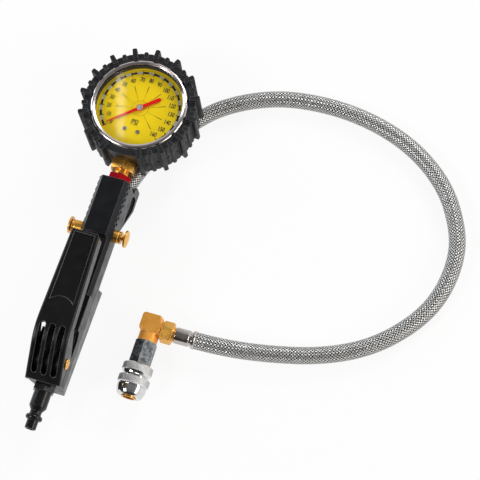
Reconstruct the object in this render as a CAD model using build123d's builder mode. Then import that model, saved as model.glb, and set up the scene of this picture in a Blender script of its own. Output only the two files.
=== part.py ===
"""Hand-held tyre inflator: dial gauge on a lever valve, with a braided hose and a lock-on chuck.

It lies on its back. X runs across the handle, Y along it from the air plug to the gauge, and Z up
through the dial. Lengths are millimetres, and the surface that it lies on is Z = 0.
"""
import os
from math import atan2, cos, degrees, pi, radians, sin, sqrt, tan

from build123d import *

# Main places, measured along the handle from the tip of the air plug
axis_height = 24.0
plug_length = 32.5
body_top_station = 184.0

# Handle body
bar_half_width_top = 11.4
bar_half_width_bottom = 12.5
ledge_height = 13.0
front_height = 15.1
front_block_start = 139.3
front_block_slope = 2.2
front_flat_half = 8.2
front_bevel_foot = 9.8
front_bevel_start = 97.0
relief_start = 111.0
relief_foot = 107.5
relief_end = 152.0
relief_height = -5.0
boss_foot_station = 176.0
boss_end_station = 192.0
boss_front_height = -9.4
boss_lip_station = 187.0
boss_lip_height = -15.5
boss_corner = 1.6
rear_flat_half_bottom = 8.6
rear_flat_half_top = 10.3
rear_bevel_height = 22.0
hump_start = 67.0
hump_height = 20.0
hump_nose_height = 6.5
hump_flat_start = 52.0
hump_cover = 1.0
hump_cover_back = 3.4
cheek_depth = 2.3
cheek_height = 5.6
cheek_end = 71.0
serration_pitch = 4.8
serration_count = 7
serration_radius = 1.3
serration_depth = 0.8
serration_floor = 6.6
pocket_depth = 1.4

# Lever
lever_top_station = 133.5
lever_bottom_station = 31.0
lever_top_height = 36.0
lever_heel_station = 59.5
lever_heel_height = 32.6
lever_bottom_height = 12.0
lever_heel_radius = 30.0
lever_half_top = 10.2
lever_half_heel = 12.5
lever_half_bottom = 12.6
lever_half_heel_station = 70.0
lever_skin = 2.4
lever_wall = 1.9
lever_edge_radius = 1.8
skirt_top_height = 25.5
skirt_heel_height = 24.2
skirt_heel_station = 68.0
ear_start_station = 57.0
ear_height = 7.6
panel_depth = 0.7
panel_top_station = 132.0
panel_bottom_station = 82.0
panel_half_top = 7.4
panel_half_bottom = 8.5
panel_arch = 4.0
slot_width = 4.2
slot_pitch = 6.9
slot_top_station = 66.5
slot_bottom_station = 35.0

# Lever pivot
pivot_station = 46.5
pivot_height = 13.5
pin_radius = 2.45
pin_head_radius = 3.7
pin_head_height = 1.0
pin_tail_height = 0.4
running_gap = 0.05
seat_gap = 0.3

# Lever valve
stem_station = 88.0
stem_radius = 2.0
stem_top_height = 24.0
stem_button_radius = 2.9
stem_collar_radius = 4.4
stem_collar_thickness = 2.0
stem_tail = 7.0
chamber_radius = 6.2
chamber_floor = -16.0
gland_thread_length = 8.0
gland_flange_across = 14.0
gland_flange_height = 2.5
valve_spring_wire = 1.0
valve_spring_turns = 5
seal_thickness = 1.6

# Selector valve
selector_station = 145.5
selector_height = 4.0
selector_bore_radius = 4.0
selector_gland_radius = 3.9
selector_collar_radius = 4.6
selector_gland_out = 17.2
selector_left_out = 19.8
selector_gland_in = 7.0
selector_groove = 0.35
selector_rod_radius = 1.9
selector_head_radius = 6.2
selector_head_thickness = 1.2
selector_head_dome = 1.2
selector_travel = 2.2
selector_land_half = 4.4
selector_screw_radius = 1.4

# Air plug
plug_nose_radius = 3.9
plug_nose_length = 6.2
plug_ring_radius = 5.85
plug_ring_length = 3.6
plug_neck_radius = 4.0
plug_neck_end = 12.8
plug_shank_radius = 6.05
plug_shank_start = 15.8
plug_hex_start = 26.6
plug_hex_across = 14.0
plug_bore_radius = 2.6
plug_thread_radius = 6.5
plug_thread_length = 11.0
air_passage_radius = 2.4

# Bushing and gauge stem
bushing_across = 15.2
bushing_length = 7.0
bushing_thread_radius = 6.6
bushing_thread_length = 10.0
hex_turn = 14.0
nipple_radius = 5.0
nipple_neck = 3.8
socket_hex_station = body_top_station + bushing_length + nipple_neck
socket_hex_length = 11.0
socket_reach = 2.2
socket_hex_across = 16.5
socket_turn = 5.0
socket_chamfer = 1.0
socket_shank_radius = 6.0
socket_block_width = 13.0
socket_block_length = 13.0
socket_bore_radius = 1.8

# Gauge housing, heights from the stem axis
case_back = -7.6
case_radius = 33.5
case_wall = 1.2
case_rim_height = 15.1
dial_height = 11.2
dial_thickness = 0.8
dial_screw_half_pitch = 5.0
dial_screw_offset = 18.2
dial_turn = -2.9
gasket_thickness = 1.0
gasket_width = 1.9
lens_thickness = 2.0
bezel_wall = 2.0
bezel_radius = case_radius + bezel_wall
bezel_lip = 1.8
bezel_opening = case_radius - bezel_lip
bezel_height = 19.4
bezel_skirt_height = 8.2
bezel_round = 2.4
pointer_height = 12.4
pointer_thickness = 0.5
pointer_reach = 26.5
pointer_tail = 15.0
pointer_rest = 219.5
pointer_sweep = 270.0
pointer_cap_radius = 2.6

# Gauge movement
tooth_module = 0.4
pinion_teeth = 10
sector_teeth_full = 80
movement_gap = 0.15
plate_thickness = 1.0
plate_low_height = 2.6
plate_high_height = 8.6
sector_thickness = 1.2
sector_tail = 8.0
tube_mean_radius = 24.6
tube_width = 2.8
tube_depth = 7.0
tube_start = 257.0
tube_end = -22.0
tip_station_x = 20.2
tip_station_y = -9.8
tip_pin_radius = 0.6
link_slack = 0.4
link_eye_radius = 1.7

# Boot
boot_back = -9.2
boot_ring_front = 18.0
tall_lug_front = 20.6
short_lug_front = 18.6
boot_fit = 0.3
boot_wall = 4.7
boot_base_radius = bezel_radius + boot_fit + boot_wall
block_rise = 0.6
short_lug_rise = 1.2
tall_lug_rise = 3.4
lug_radius = boot_base_radius + tall_lug_rise
tall_lug_count = 15
lug_pitch = 23.0
boot_turn = -1.0
tall_lug_width = 3.4
short_lug_width = 3.0
block_width = 2.4
lug_round = 0.9
boot_stem_slot = 19.6

# Gauge centre and overall length, from the stem's hexagon and the housing's own sizes
gauge_station = socket_hex_station + socket_hex_length + socket_reach + case_radius
overall_length = gauge_station + lug_radius

# Hose, with its route on the surface: across, station, height of its centre
sleeve_large_radius = 11.0
chuck_height = sleeve_large_radius + 0.1
hose_radius = 6.0
hose_clearance = 0.3
port_angle = 12.0
port_x = 3.3
port_height = -16.6
port_depth = 14.0
port_lead = 22.5
hose_low = 6.05
hose_route = [
    (38.0, 261.0, 6.05),
    (67.0, 281.0, 6.05),
    (101.0, 292.0, 6.05),
    (147.0, 292.0, 6.05),
    (190.0, 279.0, 6.05),
    (223.0, 254.0, 6.05),
    (241.0, 222.0, 6.05),
    (245.0, 197.0, 6.05),
    (240.0, 168.0, 6.05),
    (226.0, 144.0, 6.05),
    (202.0, 121.0, 6.05),
    (170.0, 106.0, 6.05),
    (134.0, 97.5, 7.5),
    (104.0, 92.8, chuck_height),
]

# Hose end, elbow and chuck
chuck_x = 54.3
elbow_station = 92.8
ferrule_start = 87.0
ferrule_end = 71.8
ferrule_radius = 5.8
ferrule_ring_radius = 6.5
ferrule_ring_length = 2.8
ferrule_groove = 0.8
end_hex_across = 13.8
end_hex_end = 62.5
end_hex_length = 7.8
end_neck_radius = 5.0
elbow_half_width = 7.4
elbow_top_station = 101.6
elbow_bottom_station = 88.8
elbow_half_depth = 7.2
elbow_corner = 2.2
elbow_turned_bevel = 2.6
elbow_neck_radius = 7.0
elbow_end_radius = 5.6
elbow_neck_end = 82.4
elbow_bore_radius = 3.0
stem_hex_across = 14.0
stem_hex_end = 64.7
sleeve_front = 42.2
sleeve_back = 65.0
sleeve_band_radius = 10.6
sleeve_band_end = 59.1
sleeve_groove_depth = 1.1
sleeve_second_band = 56.1
sleeve_second_end = 50.3
sleeve_nose_start = 49.6
sleeve_nose_radius = 10.4
sleeve_nose_front_radius = 9.1
sleeve_break = 0.5
sleeve_bore_radius = 8.6
sleeve_mouth_radius = 5.3
sleeve_travel = 3.0
sleeve_shoulder = 53.0
core_radius = 6.0
core_nose_radius = 4.9
core_bore_radius = 4.1
core_front = 41.4
ball_radius = 1.2
ball_count = 4
ball_station = 49.5
mouth_length = 6.5
mouth_relief = 0.6
seat_bore_radius = 3.6
relief_end_station = 57.0
chuck_spring_wire = 0.9
chuck_spring_turns = 5

os.makedirs("parts", exist_ok=True)
made = []


def y_at(station):
    """Station along the handle, from the plug's tip, turned into Y."""
    return station - overall_length / 2


def z_at(height):
    """Height from the stem axis turned into Z."""
    return height + axis_height


def side(*points):
    """Points of a side view, station and height, turned into the YZ plane's own."""
    return [(y_at(station), z_at(height)) for station, height in points]


def across_plane(station, x=0.0, height=0.0):
    """Plane square to the handle, facing the gauge, with its origin at a station."""
    return Plane(origin=(x, y_at(station), z_at(height)), x_dir=(1, 0, 0), z_dir=(0, 1, 0))


def profile_plane(x=0.0, height=0.0):
    """Plane for half profiles turned about a line along Y: radius by station."""
    return Plane(origin=(x, y_at(0), z_at(height)), x_dir=(1, 0, 0), z_dir=(0, 0, 1))


def line_y(x=0.0, height=0.0):
    """Axis along Y through a point of the cross-section."""
    return Axis((x, 0, z_at(height)), (0, 1, 0))


def keep(part, name):
    """Label a finished piece and write it out."""
    part.label = name
    export_step(part, f"parts/{name}.step")
    made.append(name)


def slope(first, second):
    """Rise of the second pair of numbers over the first, for straight edges."""
    return (second[1] - first[1]) / (second[0] - first[0])


# Handle body: side profile, narrowed in plan, with a bevelled front block and a rear block
bar_taper = slope((plug_length, bar_half_width_bottom), (body_top_station, bar_half_width_top))


def bar_half_at(station):
    """Half width of the handle body at a station."""
    return bar_half_width_bottom + bar_taper * (station - plug_length)


selector_half_width = bar_half_at(selector_station)
bushing_radius = bushing_across / sqrt(3)
port_direction = (sin(radians(port_angle)), cos(radians(port_angle)), 0)
port_mouth = (port_x, y_at(boss_end_station), z_at(port_height))
port_bottom = tuple(m - port_depth * d for m, d in zip(port_mouth, port_direction))
port_plane = Plane(origin=port_bottom, z_dir=port_direction)

with BuildPart() as valve_body:
    with BuildSketch(Plane.YZ):
        with BuildLine():
            Polyline(*side(
                (body_top_station, front_height), (front_block_start + front_block_slope, front_height),
                (front_block_start, ledge_height), (hump_start, ledge_height),
                (hump_start - 1, hump_height), (hump_flat_start, hump_height),
                (pivot_station - hump_cover_back, pivot_height + pin_radius + hump_cover),
                (plug_length, hump_nose_height), (plug_length, -axis_height),
                (relief_start, -axis_height), (relief_foot, relief_height),
                (relief_end, relief_height), (boss_foot_station, -axis_height),
                (boss_end_station, -axis_height), (boss_end_station, boss_lip_height - 2),
                (boss_lip_station, boss_front_height), (body_top_station, boss_front_height)), close=True)
        make_face()
    extrude(amount=bar_half_width_bottom, both=True)
    with BuildSketch(Plane.XY.offset(z_at(0))):
        with BuildLine():
            Polyline((-bar_half_at(plug_length), y_at(plug_length)),
                     (bar_half_at(plug_length), y_at(plug_length)),
                     (bar_half_at(boss_end_station), y_at(boss_end_station)),
                     (-bar_half_at(boss_end_station), y_at(boss_end_station)), close=True)
        make_face()
    extrude(amount=2 * axis_height, both=True, mode=Mode.INTERSECT)
    # narrow the bar towards its back, and bevel its front edges above the hump
    for sign in (-1, 1):
        wide = bar_half_width_bottom + 1
        with BuildSketch(Plane.XZ.offset(-y_at(plug_length))):
            with BuildLine():
                Polyline((sign * rear_flat_half_bottom, 0),
                         (sign * bar_half_at(plug_length), rear_bevel_height),
                         (sign * wide, rear_bevel_height), (sign * wide, 0), close=True)
            make_face()
        with BuildSketch(Plane.XZ.offset(-y_at(relief_end))):
            with BuildLine():
                Polyline((sign * rear_flat_half_top, 0),
                         (sign * bar_half_at(relief_end), rear_bevel_height),
                         (sign * wide, rear_bevel_height), (sign * wide, 0), close=True)
            make_face()
        loft(mode=Mode.SUBTRACT)
        for station in (front_bevel_start, body_top_station):
            with BuildSketch(Plane.XZ.offset(-y_at(station))):
                with BuildLine():
                    Polyline((sign * front_flat_half, z_at(front_height)),
                             (sign * bar_half_at(station), z_at(front_bevel_foot)),
                             (sign * wide, z_at(front_bevel_foot)), (sign * wide, z_at(front_height + 1)),
                             (sign * front_flat_half, z_at(front_height + 1)), close=True)
                make_face()
        loft(mode=Mode.SUBTRACT)
    # soften the boss
    boss_edges = (valve_body.edges().filter_by(Axis.Z)
                  .filter_by_position(Axis.Y, y_at(boss_end_station) - 0.1, y_at(boss_end_station) + 0.1))
    fillet(boss_edges, radius=boss_corner)
    # finger serrations on the bevels' lower edges
    serration_rows = [body_top_station - serration_pitch * (index + 0.5)
                      for index in range(serration_count)]
    with BuildSketch(Plane.XY.offset(z_at(serration_floor))):
        with Locations(*[(sign * (bar_half_at(row) + serration_radius - serration_depth), y_at(row))
                         for row in serration_rows for sign in (-1, 1)]):
            Circle(serration_radius)
    extrude(amount=front_height - serration_floor + 1, mode=Mode.SUBTRACT)
    # shallow pocket in each side of the boss
    for sign in (-1, 1):
        with BuildSketch(Plane.YZ.offset(sign * (bar_half_at(boss_end_station) - pocket_depth))):
            with BuildLine():
                Polyline(*side((158.5, -8.2), (181.0, -8.2), (183.5, -12.0), (183.5, -19.5),
                               (175.5, -20.5)), close=True)
            make_face()
        extrude(amount=sign * 2 * pocket_depth, mode=Mode.SUBTRACT)
    # flats for the lever's ears
    cheek_half = bar_half_width_bottom - cheek_depth
    for sign in (-1, 1):
        with BuildSketch(Plane.YZ.offset(sign * cheek_half)):
            with BuildLine():
                Polyline(*side((plug_length - 1, cheek_height), (cheek_end - 6, cheek_height),
                               (cheek_end, cheek_height + 3), (cheek_end, hump_height + 1),
                               (plug_length - 1, hump_height + 1)), close=True)
            make_face()
        extrude(amount=sign * 2 * cheek_depth, mode=Mode.SUBTRACT)
    # pivot, selector and lever valve bores
    with BuildSketch(Plane.YZ):
        with Locations((y_at(pivot_station), z_at(pivot_height))):
            Circle(pin_radius + running_gap)
        with Locations((y_at(selector_station), z_at(selector_height))):
            Circle(selector_bore_radius)
    extrude(amount=bar_half_width_bottom + 1, both=True, mode=Mode.SUBTRACT)
    with BuildSketch(Plane.XY.offset(z_at(chamber_floor))):
        with Locations((0, y_at(stem_station))):
            Circle(chamber_radius)
    extrude(amount=ledge_height - chamber_floor + 1, mode=Mode.SUBTRACT)
    # plug port, air passage and gauge port along the handle
    with BuildSketch(across_plane(plug_length)):
        Circle(plug_thread_radius + running_gap)
    extrude(amount=plug_thread_length + seat_gap, mode=Mode.SUBTRACT)
    with BuildSketch(across_plane(plug_length)):
        Circle(air_passage_radius)
    extrude(amount=body_top_station - plug_length, mode=Mode.SUBTRACT)
    with BuildSketch(across_plane(body_top_station - bushing_thread_length - seat_gap)):
        Circle(bushing_thread_radius + running_gap)
    extrude(amount=bushing_thread_length + 1, mode=Mode.SUBTRACT)
    # hose port in the boss
    with BuildSketch(port_plane):
        Circle(hose_radius + hose_clearance)
    extrude(amount=2 * port_depth, mode=Mode.SUBTRACT)

keep(valve_body.part, "valve_body")

# Lever: a U-shaped cover with a bent heel and two ears at the pin
lever_rise = slope((lever_heel_station, lever_heel_height), (lever_top_station, lever_top_height))
lever_tilt = degrees(atan2(lever_top_height - lever_heel_height, lever_top_station - lever_heel_station))


def lever_front_at(station):
    """Height of the lever's palm face at a station above the heel."""
    return lever_heel_height + lever_rise * (station - lever_heel_station)


def lever_half_at(station):
    """Half width of the lever at a station."""
    if station > lever_half_heel_station:
        rate = slope((lever_half_heel_station, lever_half_heel), (lever_top_station, lever_half_top))
        return lever_half_heel + rate * (station - lever_half_heel_station)
    rate = slope((lever_bottom_station, lever_half_bottom), (lever_half_heel_station, lever_half_heel))
    return lever_half_bottom + rate * (station - lever_bottom_station)


def lever_shape(inset, drop, shorten):
    """Lever's closed block: side view by plan view, both set in by the wall."""
    low = lever_bottom_station - (1 if drop else 0)
    heel_drop = drop / cos(radians(20))
    with BuildPart() as block:
        with BuildSketch(Plane.YZ):
            with BuildLine():
                far = lever_top_station - shorten
                top_edge = side((far, lever_front_at(far) - drop),
                                (lever_heel_station, lever_heel_height - heel_drop),
                                (low, lever_bottom_height - (1.25 * drop + 0.7 if drop else 0)))
                FilletPolyline(*top_edge, radius=lever_heel_radius - drop)
                ear = 2 if drop else 0
                Polyline(top_edge[2], *side((low, ear_height - ear), (pivot_station + 6, ear_height - ear),
                                            (ear_start_station + 3, 16.0 - ear),
                                            (skirt_heel_station, skirt_heel_height - ear),
                                            (far, skirt_top_height - ear)), top_edge[0])
            make_face()
        extrude(amount=2 * lever_half_heel, both=True)
        with BuildSketch(Plane.XY.offset(z_at(0))):
            with BuildLine():
                stations = (low, lever_half_heel_station, lever_top_station - shorten)
                right = [(lever_half_at(s) - inset, y_at(s)) for s in stations]
                left = [(inset - lever_half_at(s), y_at(s)) for s in reversed(stations)]
                Polyline(*right, *left, close=True)
            make_face()
        extrude(amount=2 * axis_height, both=True, mode=Mode.INTERSECT)
    return block.part


lever_outer = lever_shape(0, 0, 0)
lever_inner = lever_shape(lever_wall, lever_skin, lever_wall)
panel_plane = Plane(origin=(0, y_at(lever_top_station), z_at(lever_top_height)), x_dir=(1, 0, 0),
                    z_dir=(0, -sin(radians(lever_tilt)), cos(radians(lever_tilt))))
panel_top = panel_top_station - lever_top_station
panel_bottom = panel_bottom_station - lever_top_station
skin_under_stem = lever_front_at(stem_station) - lever_skin

with BuildPart() as lever:
    add(lever_outer)
    long_edges = (lever.edges().filter_by(lambda edge: edge.center().Z > z_at(lever_bottom_height))
                  .filter_by(lambda edge: abs(edge.center().X) > lever_half_top - 1.5)
                  .filter_by(lambda edge: edge.center().Z > z_at(skirt_top_height) + 2
                             or edge.center().Y < y_at(ear_start_station) and edge.length > 20
                             and edge.center().Z > z_at(ear_height) + 8))
    fillet(long_edges, radius=lever_edge_radius)
    add(lever_inner, mode=Mode.SUBTRACT)
    # sunk palm panel with an arched lower edge
    with BuildSketch(panel_plane):
        with BuildLine():
            top_line = Polyline((-panel_half_bottom, panel_bottom), (-panel_half_top, panel_top),
                                (panel_half_top, panel_top), (panel_half_bottom, panel_bottom))
            ThreePointArc((panel_half_bottom, panel_bottom), (0, panel_bottom + panel_arch),
                          (-panel_half_bottom, panel_bottom))
        make_face()
    extrude(amount=-panel_depth, mode=Mode.SUBTRACT)
    # three long slots over the heel
    slot_length = slot_top_station - slot_bottom_station
    with BuildSketch(Plane.XY.offset(z_at(ear_height))):
        with Locations((0, y_at((slot_top_station + slot_bottom_station) / 2))):
            with GridLocations(slot_pitch, 0, 3, 1):
                SlotOverall(slot_length, slot_width, rotation=90)
    extrude(amount=2 * axis_height, mode=Mode.SUBTRACT)
    # pad that meets the valve stem
    with BuildSketch(Plane.XY.offset(z_at(stem_top_height + seat_gap))):
        with Locations((0, y_at(stem_station))):
            Circle(stem_button_radius + 1)
    extrude(amount=skin_under_stem - stem_top_height + 0.6)
    with BuildSketch(Plane.YZ):
        with Locations((y_at(pivot_station), z_at(pivot_height))):
            Circle(pin_radius + running_gap)
    extrude(amount=2 * lever_half_heel, both=True, mode=Mode.SUBTRACT)

keep(lever.part, "lever")

# Hinge pin with a domed head outside the right ear and a plain end at the left one
ear_outside = lever_half_at(pivot_station) + seat_gap
head_outside = ear_outside + pin_head_height
head_round = ear_outside + pin_head_height * 0.7
tail_outside = ear_outside + pin_tail_height
with BuildPart() as lever_pin:
    with BuildSketch(Plane(origin=(0, y_at(pivot_station), z_at(pivot_height)), x_dir=(0, 1, 0),
                           z_dir=(0, 0, 1))):
        with BuildLine():
            Polyline((0, tail_outside), (0, -head_outside), (pin_head_radius - 1, -head_outside))
            ThreePointArc((pin_head_radius - 1, -head_outside), (pin_head_radius - 0.3, -head_round),
                          (pin_head_radius, -ear_outside))
            Polyline((pin_head_radius, -ear_outside), (pin_radius, -ear_outside),
                     (pin_radius, tail_outside), (0, tail_outside))
        make_face()
    revolve(axis=Axis((0, y_at(pivot_station), z_at(pivot_height)), (1, 0, 0)))

keep(lever_pin.part, "lever_pin")

# Lever valve: gland, push rod with collar, seal and return spring
gland_bottom = ledge_height - gland_thread_length
collar_top = gland_bottom - seat_gap
collar_bottom = collar_top - stem_collar_thickness


def upright(station, x=0.0):
    """Plane for half profiles turned about a vertical line: radius by height."""
    return Plane(origin=(x, y_at(station), z_at(0)), x_dir=(1, 0, 0), z_dir=(0, -1, 0))


def line_z(station, x=0.0):
    """Vertical axis at a station."""
    return Axis((x, y_at(station), 0), (0, 0, 1))


seal_outer = stem_radius + 1.6
seal_low = gland_bottom + 3
gland_outer = chamber_radius - running_gap
gland_inner = stem_radius + running_gap
with BuildPart() as valve_gland:
    with BuildSketch(upright(stem_station)):
        with BuildLine():
            Polyline((gland_inner, gland_bottom), (gland_outer, gland_bottom), (gland_outer, ledge_height),
                     (gland_inner, ledge_height), (gland_inner, seal_low + seal_thickness),
                     (seal_outer, seal_low + seal_thickness), (seal_outer, seal_low),
                     (gland_inner, seal_low), close=True)
        make_face()
    revolve(axis=line_z(stem_station))
    with BuildSketch(Plane.XY.offset(z_at(ledge_height))):
        with Locations((0, y_at(stem_station))):
            RegularPolygon(gland_flange_across / 2, 6, major_radius=False)
            Circle(stem_radius + running_gap, mode=Mode.SUBTRACT)
    extrude(amount=gland_flange_height)

keep(valve_gland.part, "valve_gland")

with BuildPart() as valve_seal:
    with BuildSketch(upright(stem_station)):
        with Locations(((stem_radius + seal_outer) / 2 + running_gap, seal_low + seal_thickness / 2)):
            Rectangle(seal_outer - stem_radius - 3 * running_gap, seal_thickness - 2 * running_gap)
    revolve(axis=line_z(stem_station))

keep(valve_seal.part, "valve_seal")

with BuildPart() as valve_stem:
    with BuildSketch(upright(stem_station)):
        with BuildLine():
            Polyline((0, collar_bottom - stem_tail), (stem_radius - 0.4, collar_bottom - stem_tail),
                     (stem_radius - 0.4, collar_bottom), (stem_collar_radius, collar_bottom),
                     (stem_collar_radius, collar_top), (stem_radius, collar_top),
                     (stem_radius, stem_top_height - 3), (stem_button_radius, stem_top_height - 3),
                     (stem_button_radius, stem_top_height - 1))
            TangentArc((0, stem_top_height), (stem_button_radius, stem_top_height - 1), tangent=(1, 0))
            Line((0, stem_top_height), (0, collar_bottom - stem_tail))
        make_face()
    revolve(axis=line_z(stem_station))

keep(valve_stem.part, "valve_stem")

valve_spring_low = chamber_floor + valve_spring_wire / 2 + 0.1
valve_spring_high = collar_bottom - valve_spring_wire / 2 - 0.1
valve_spring_radius = (stem_radius + stem_collar_radius) / 2 + 0.2


def coil(low_point, direction, height, turns, mean_radius, wire):
    """Round wire swept along a helix, from a centre point along a direction."""
    with BuildPart() as spring:
        with BuildLine():
            helix = Helix(pitch=height / turns, height=height, radius=mean_radius, center=low_point,
                          direction=direction)
        with BuildSketch(Plane(origin=helix @ 0, z_dir=helix % 0)):
            RegularPolygon(wire / 2, 8)
        sweep(path=helix)
    return spring.part


valve_spring = coil((0, y_at(stem_station), z_at(valve_spring_low)), (0, 0, 1),
                    valve_spring_high - valve_spring_low, valve_spring_turns, valve_spring_radius,
                    valve_spring_wire)
keep(valve_spring, "valve_spring")

# Selector: two glands, a rod with lands and one head, a screwed knob and rubber rings
selector_left = -selector_left_out - seat_gap
selector_right = selector_gland_out + seat_gap + selector_travel
selector_plane = Plane(origin=(0, y_at(selector_station), z_at(selector_height)), x_dir=(0, 1, 0),
                       z_dir=(0, 0, 1))
selector_axis = Axis((0, y_at(selector_station), z_at(selector_height)), (1, 0, 0))


def selector_ring(inner, outer, start, end):
    """Plain ring about the selector's axis, start and end measured along X."""
    with BuildPart() as ring:
        with BuildSketch(selector_plane):
            with Locations(((inner + outer) / 2, -(start + end) / 2)):
                Rectangle(outer - inner, abs(end - start))
        revolve(axis=selector_axis)
    return ring.part


collar_seat = selector_half_width + 2 * running_gap
for sign, gland_out, name in ((-1, selector_left_out, "selector_gland_left"),
                              (1, selector_gland_out, "selector_gland_right")):
    gland_hole = selector_rod_radius + running_gap
    groove_start = gland_out - 2.0
    with BuildPart() as gland:
        with BuildSketch(selector_plane):
            with BuildLine():
                Polyline((gland_hole, -sign * selector_gland_in),
                         (selector_gland_radius, -sign * selector_gland_in),
                         (selector_gland_radius, -sign * collar_seat),
                         (selector_collar_radius, -sign * collar_seat),
                         (selector_collar_radius, -sign * (groove_start - selector_groove)),
                         (selector_collar_radius - selector_groove, -sign * groove_start),
                         (selector_collar_radius - selector_groove, -sign * (groove_start + 0.6)),
                         (selector_collar_radius, -sign * (groove_start + 0.6 + selector_groove)),
                         (selector_collar_radius, -sign * (gland_out - 0.5)),
                         (selector_collar_radius - 0.5, -sign * gland_out),
                         (gland_hole, -sign * gland_out), close=True)
            make_face()
        revolve(axis=selector_axis)
    keep(gland.part, name)

land_middle = selector_travel / 2
land_radius = selector_bore_radius - 2 * running_gap
ring_stations = [land_middle - selector_land_half / 2, land_middle + selector_land_half / 2]
ring_width = 1.6
ring_floor = selector_rod_radius + 0.9
with BuildPart() as selector_spool:
    with BuildSketch(selector_plane):
        with BuildLine():
            start = -selector_left
            dome_top = start + selector_head_thickness + selector_head_dome
            dome_foot = start + selector_head_thickness
            Line((0, start), (0, dome_top))
            TangentArc((0, dome_top), (selector_head_radius, dome_foot), tangent=(1, 0))
            Polyline((selector_head_radius, dome_foot), (selector_head_radius, start),
                     (selector_rod_radius, start),
                     (selector_rod_radius, -land_middle + selector_land_half),
                     (land_radius, -land_middle + selector_land_half),
                     (land_radius, -land_middle - selector_land_half),
                     (selector_rod_radius, -land_middle - selector_land_half),
                     (selector_rod_radius, -selector_right),
                     (selector_screw_radius, -selector_right),
                     (selector_screw_radius, -selector_right - selector_head_thickness),
                     (0, -selector_right - selector_head_thickness), (0, start))
        make_face()
    revolve(axis=selector_axis)
    with BuildSketch(selector_plane):
        with Locations(*[((ring_floor + land_radius) / 2 + 0.5, -x) for x in ring_stations]):
            Rectangle(land_radius - ring_floor + 1, ring_width)
    revolve(axis=selector_axis, mode=Mode.SUBTRACT)

keep(selector_spool.part, "selector_spool")

with BuildPart() as selector_knob:
    with BuildSketch(selector_plane):
        with BuildLine():
            start = -selector_right
            dome_top = start - selector_head_thickness - selector_head_dome
            dome_foot = start - selector_head_thickness
            Polyline((selector_screw_radius + running_gap, start), (selector_head_radius, start),
                     (selector_head_radius, dome_foot))
            TangentArc((0, dome_top), (selector_head_radius, dome_foot), tangent=(1, 0))
            Polyline((0, dome_top), (0, start - selector_head_thickness - running_gap),
                     (selector_screw_radius + running_gap, start - selector_head_thickness - running_gap),
                     (selector_screw_radius + running_gap, start))
        make_face()
    revolve(axis=selector_axis)

keep(selector_knob.part, "selector_knob")

seal_half = ring_width / 2 - running_gap
seal_inner = ring_floor + running_gap
seal_rim = land_radius + running_gap
seal_rings = [selector_ring(seal_inner, seal_rim, x - seal_half, x + seal_half) for x in ring_stations]
selector_seals = Compound(children=seal_rings)
keep(selector_seals, "selector_seals")

# Air plug: nose, catch ring, groove, shank, hexagon and thread
ring_middle = plug_nose_length + plug_ring_length / 2
ring_edge = plug_ring_radius - 0.9
with BuildPart() as inlet_plug:
    with BuildSketch(profile_plane()):
        with BuildLine():
            Polyline((plug_bore_radius, 0), (plug_nose_radius - 0.5, 0), (plug_nose_radius, 0.6),
                     (plug_nose_radius, plug_nose_length), (ring_edge, plug_nose_length + 0.3))
            ThreePointArc((ring_edge, plug_nose_length + 0.3), (plug_ring_radius, ring_middle),
                          (ring_edge, plug_nose_length + plug_ring_length))
            Polyline((ring_edge, plug_nose_length + plug_ring_length),
                     (plug_neck_radius, plug_nose_length + plug_ring_length + 0.7),
                     (plug_neck_radius, plug_neck_end), (plug_shank_radius, plug_shank_start),
                     (plug_shank_radius, plug_hex_start + 0.5), (plug_thread_radius, plug_hex_start + 0.5),
                     (plug_thread_radius, plug_length + plug_thread_length),
                     (plug_bore_radius, plug_length + plug_thread_length), (plug_bore_radius, 0))
        make_face()
    revolve(axis=line_y())
    with BuildSketch(across_plane(plug_hex_start)):
        RegularPolygon(plug_hex_across / 2, 6, major_radius=False, rotation=30 + hex_turn)
        Circle(plug_bore_radius, mode=Mode.SUBTRACT)
    extrude(amount=plug_length - plug_hex_start)

keep(inlet_plug.part, "inlet_plug")

# Red bushing in the top of the body
with BuildPart() as gauge_bushing:
    with BuildSketch(across_plane(body_top_station)):
        RegularPolygon(bushing_across / 2, 6, major_radius=False, rotation=30 + hex_turn)
        Circle(nipple_radius + running_gap, mode=Mode.SUBTRACT)
    extrude(amount=bushing_length)
    with BuildSketch(across_plane(body_top_station - bushing_thread_length)):
        Circle(bushing_thread_radius)
        Circle(nipple_radius + running_gap, mode=Mode.SUBTRACT)
    extrude(amount=bushing_thread_length)

keep(gauge_bushing.part, "gauge_bushing")

# Gauge stem: nipple, hexagon, shank through the boot and block inside the case
block_start = gauge_station - case_radius + case_wall + 1.0
with BuildPart() as gauge_socket:
    with BuildSketch(across_plane(body_top_station - bushing_thread_length + 1)):
        Circle(nipple_radius)
    extrude(amount=socket_hex_station - body_top_station + bushing_thread_length - 1)
    hex_reach = socket_hex_across / sqrt(3)
    with BuildSketch(across_plane(socket_hex_station)):
        RegularPolygon(socket_hex_across / 2, 6, major_radius=False, rotation=30 + socket_turn)
    extrude(amount=socket_hex_length)
    with BuildSketch(profile_plane()):
        with BuildLine():
            Polyline((hex_reach - socket_chamfer, socket_hex_station),
                     (hex_reach + socket_chamfer, socket_hex_station),
                     (hex_reach + socket_chamfer, socket_hex_station + 2 * socket_chamfer), close=True)
        make_face()
    revolve(axis=line_y(), mode=Mode.SUBTRACT)
    with BuildSketch(across_plane(socket_hex_station + socket_hex_length)):
        Circle(socket_shank_radius)
    extrude(amount=block_start - socket_hex_station - socket_hex_length)
    with BuildSketch(across_plane(block_start)):
        Rectangle(socket_block_width, 2 * (plate_low_height - running_gap))
    extrude(amount=socket_block_length)
    with BuildSketch(across_plane(body_top_station - bushing_thread_length)):
        Circle(socket_bore_radius)
    extrude(amount=block_start - body_top_station + bushing_thread_length + socket_block_length - 3,
            mode=Mode.SUBTRACT)

keep(gauge_socket.part, "gauge_socket")

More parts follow.
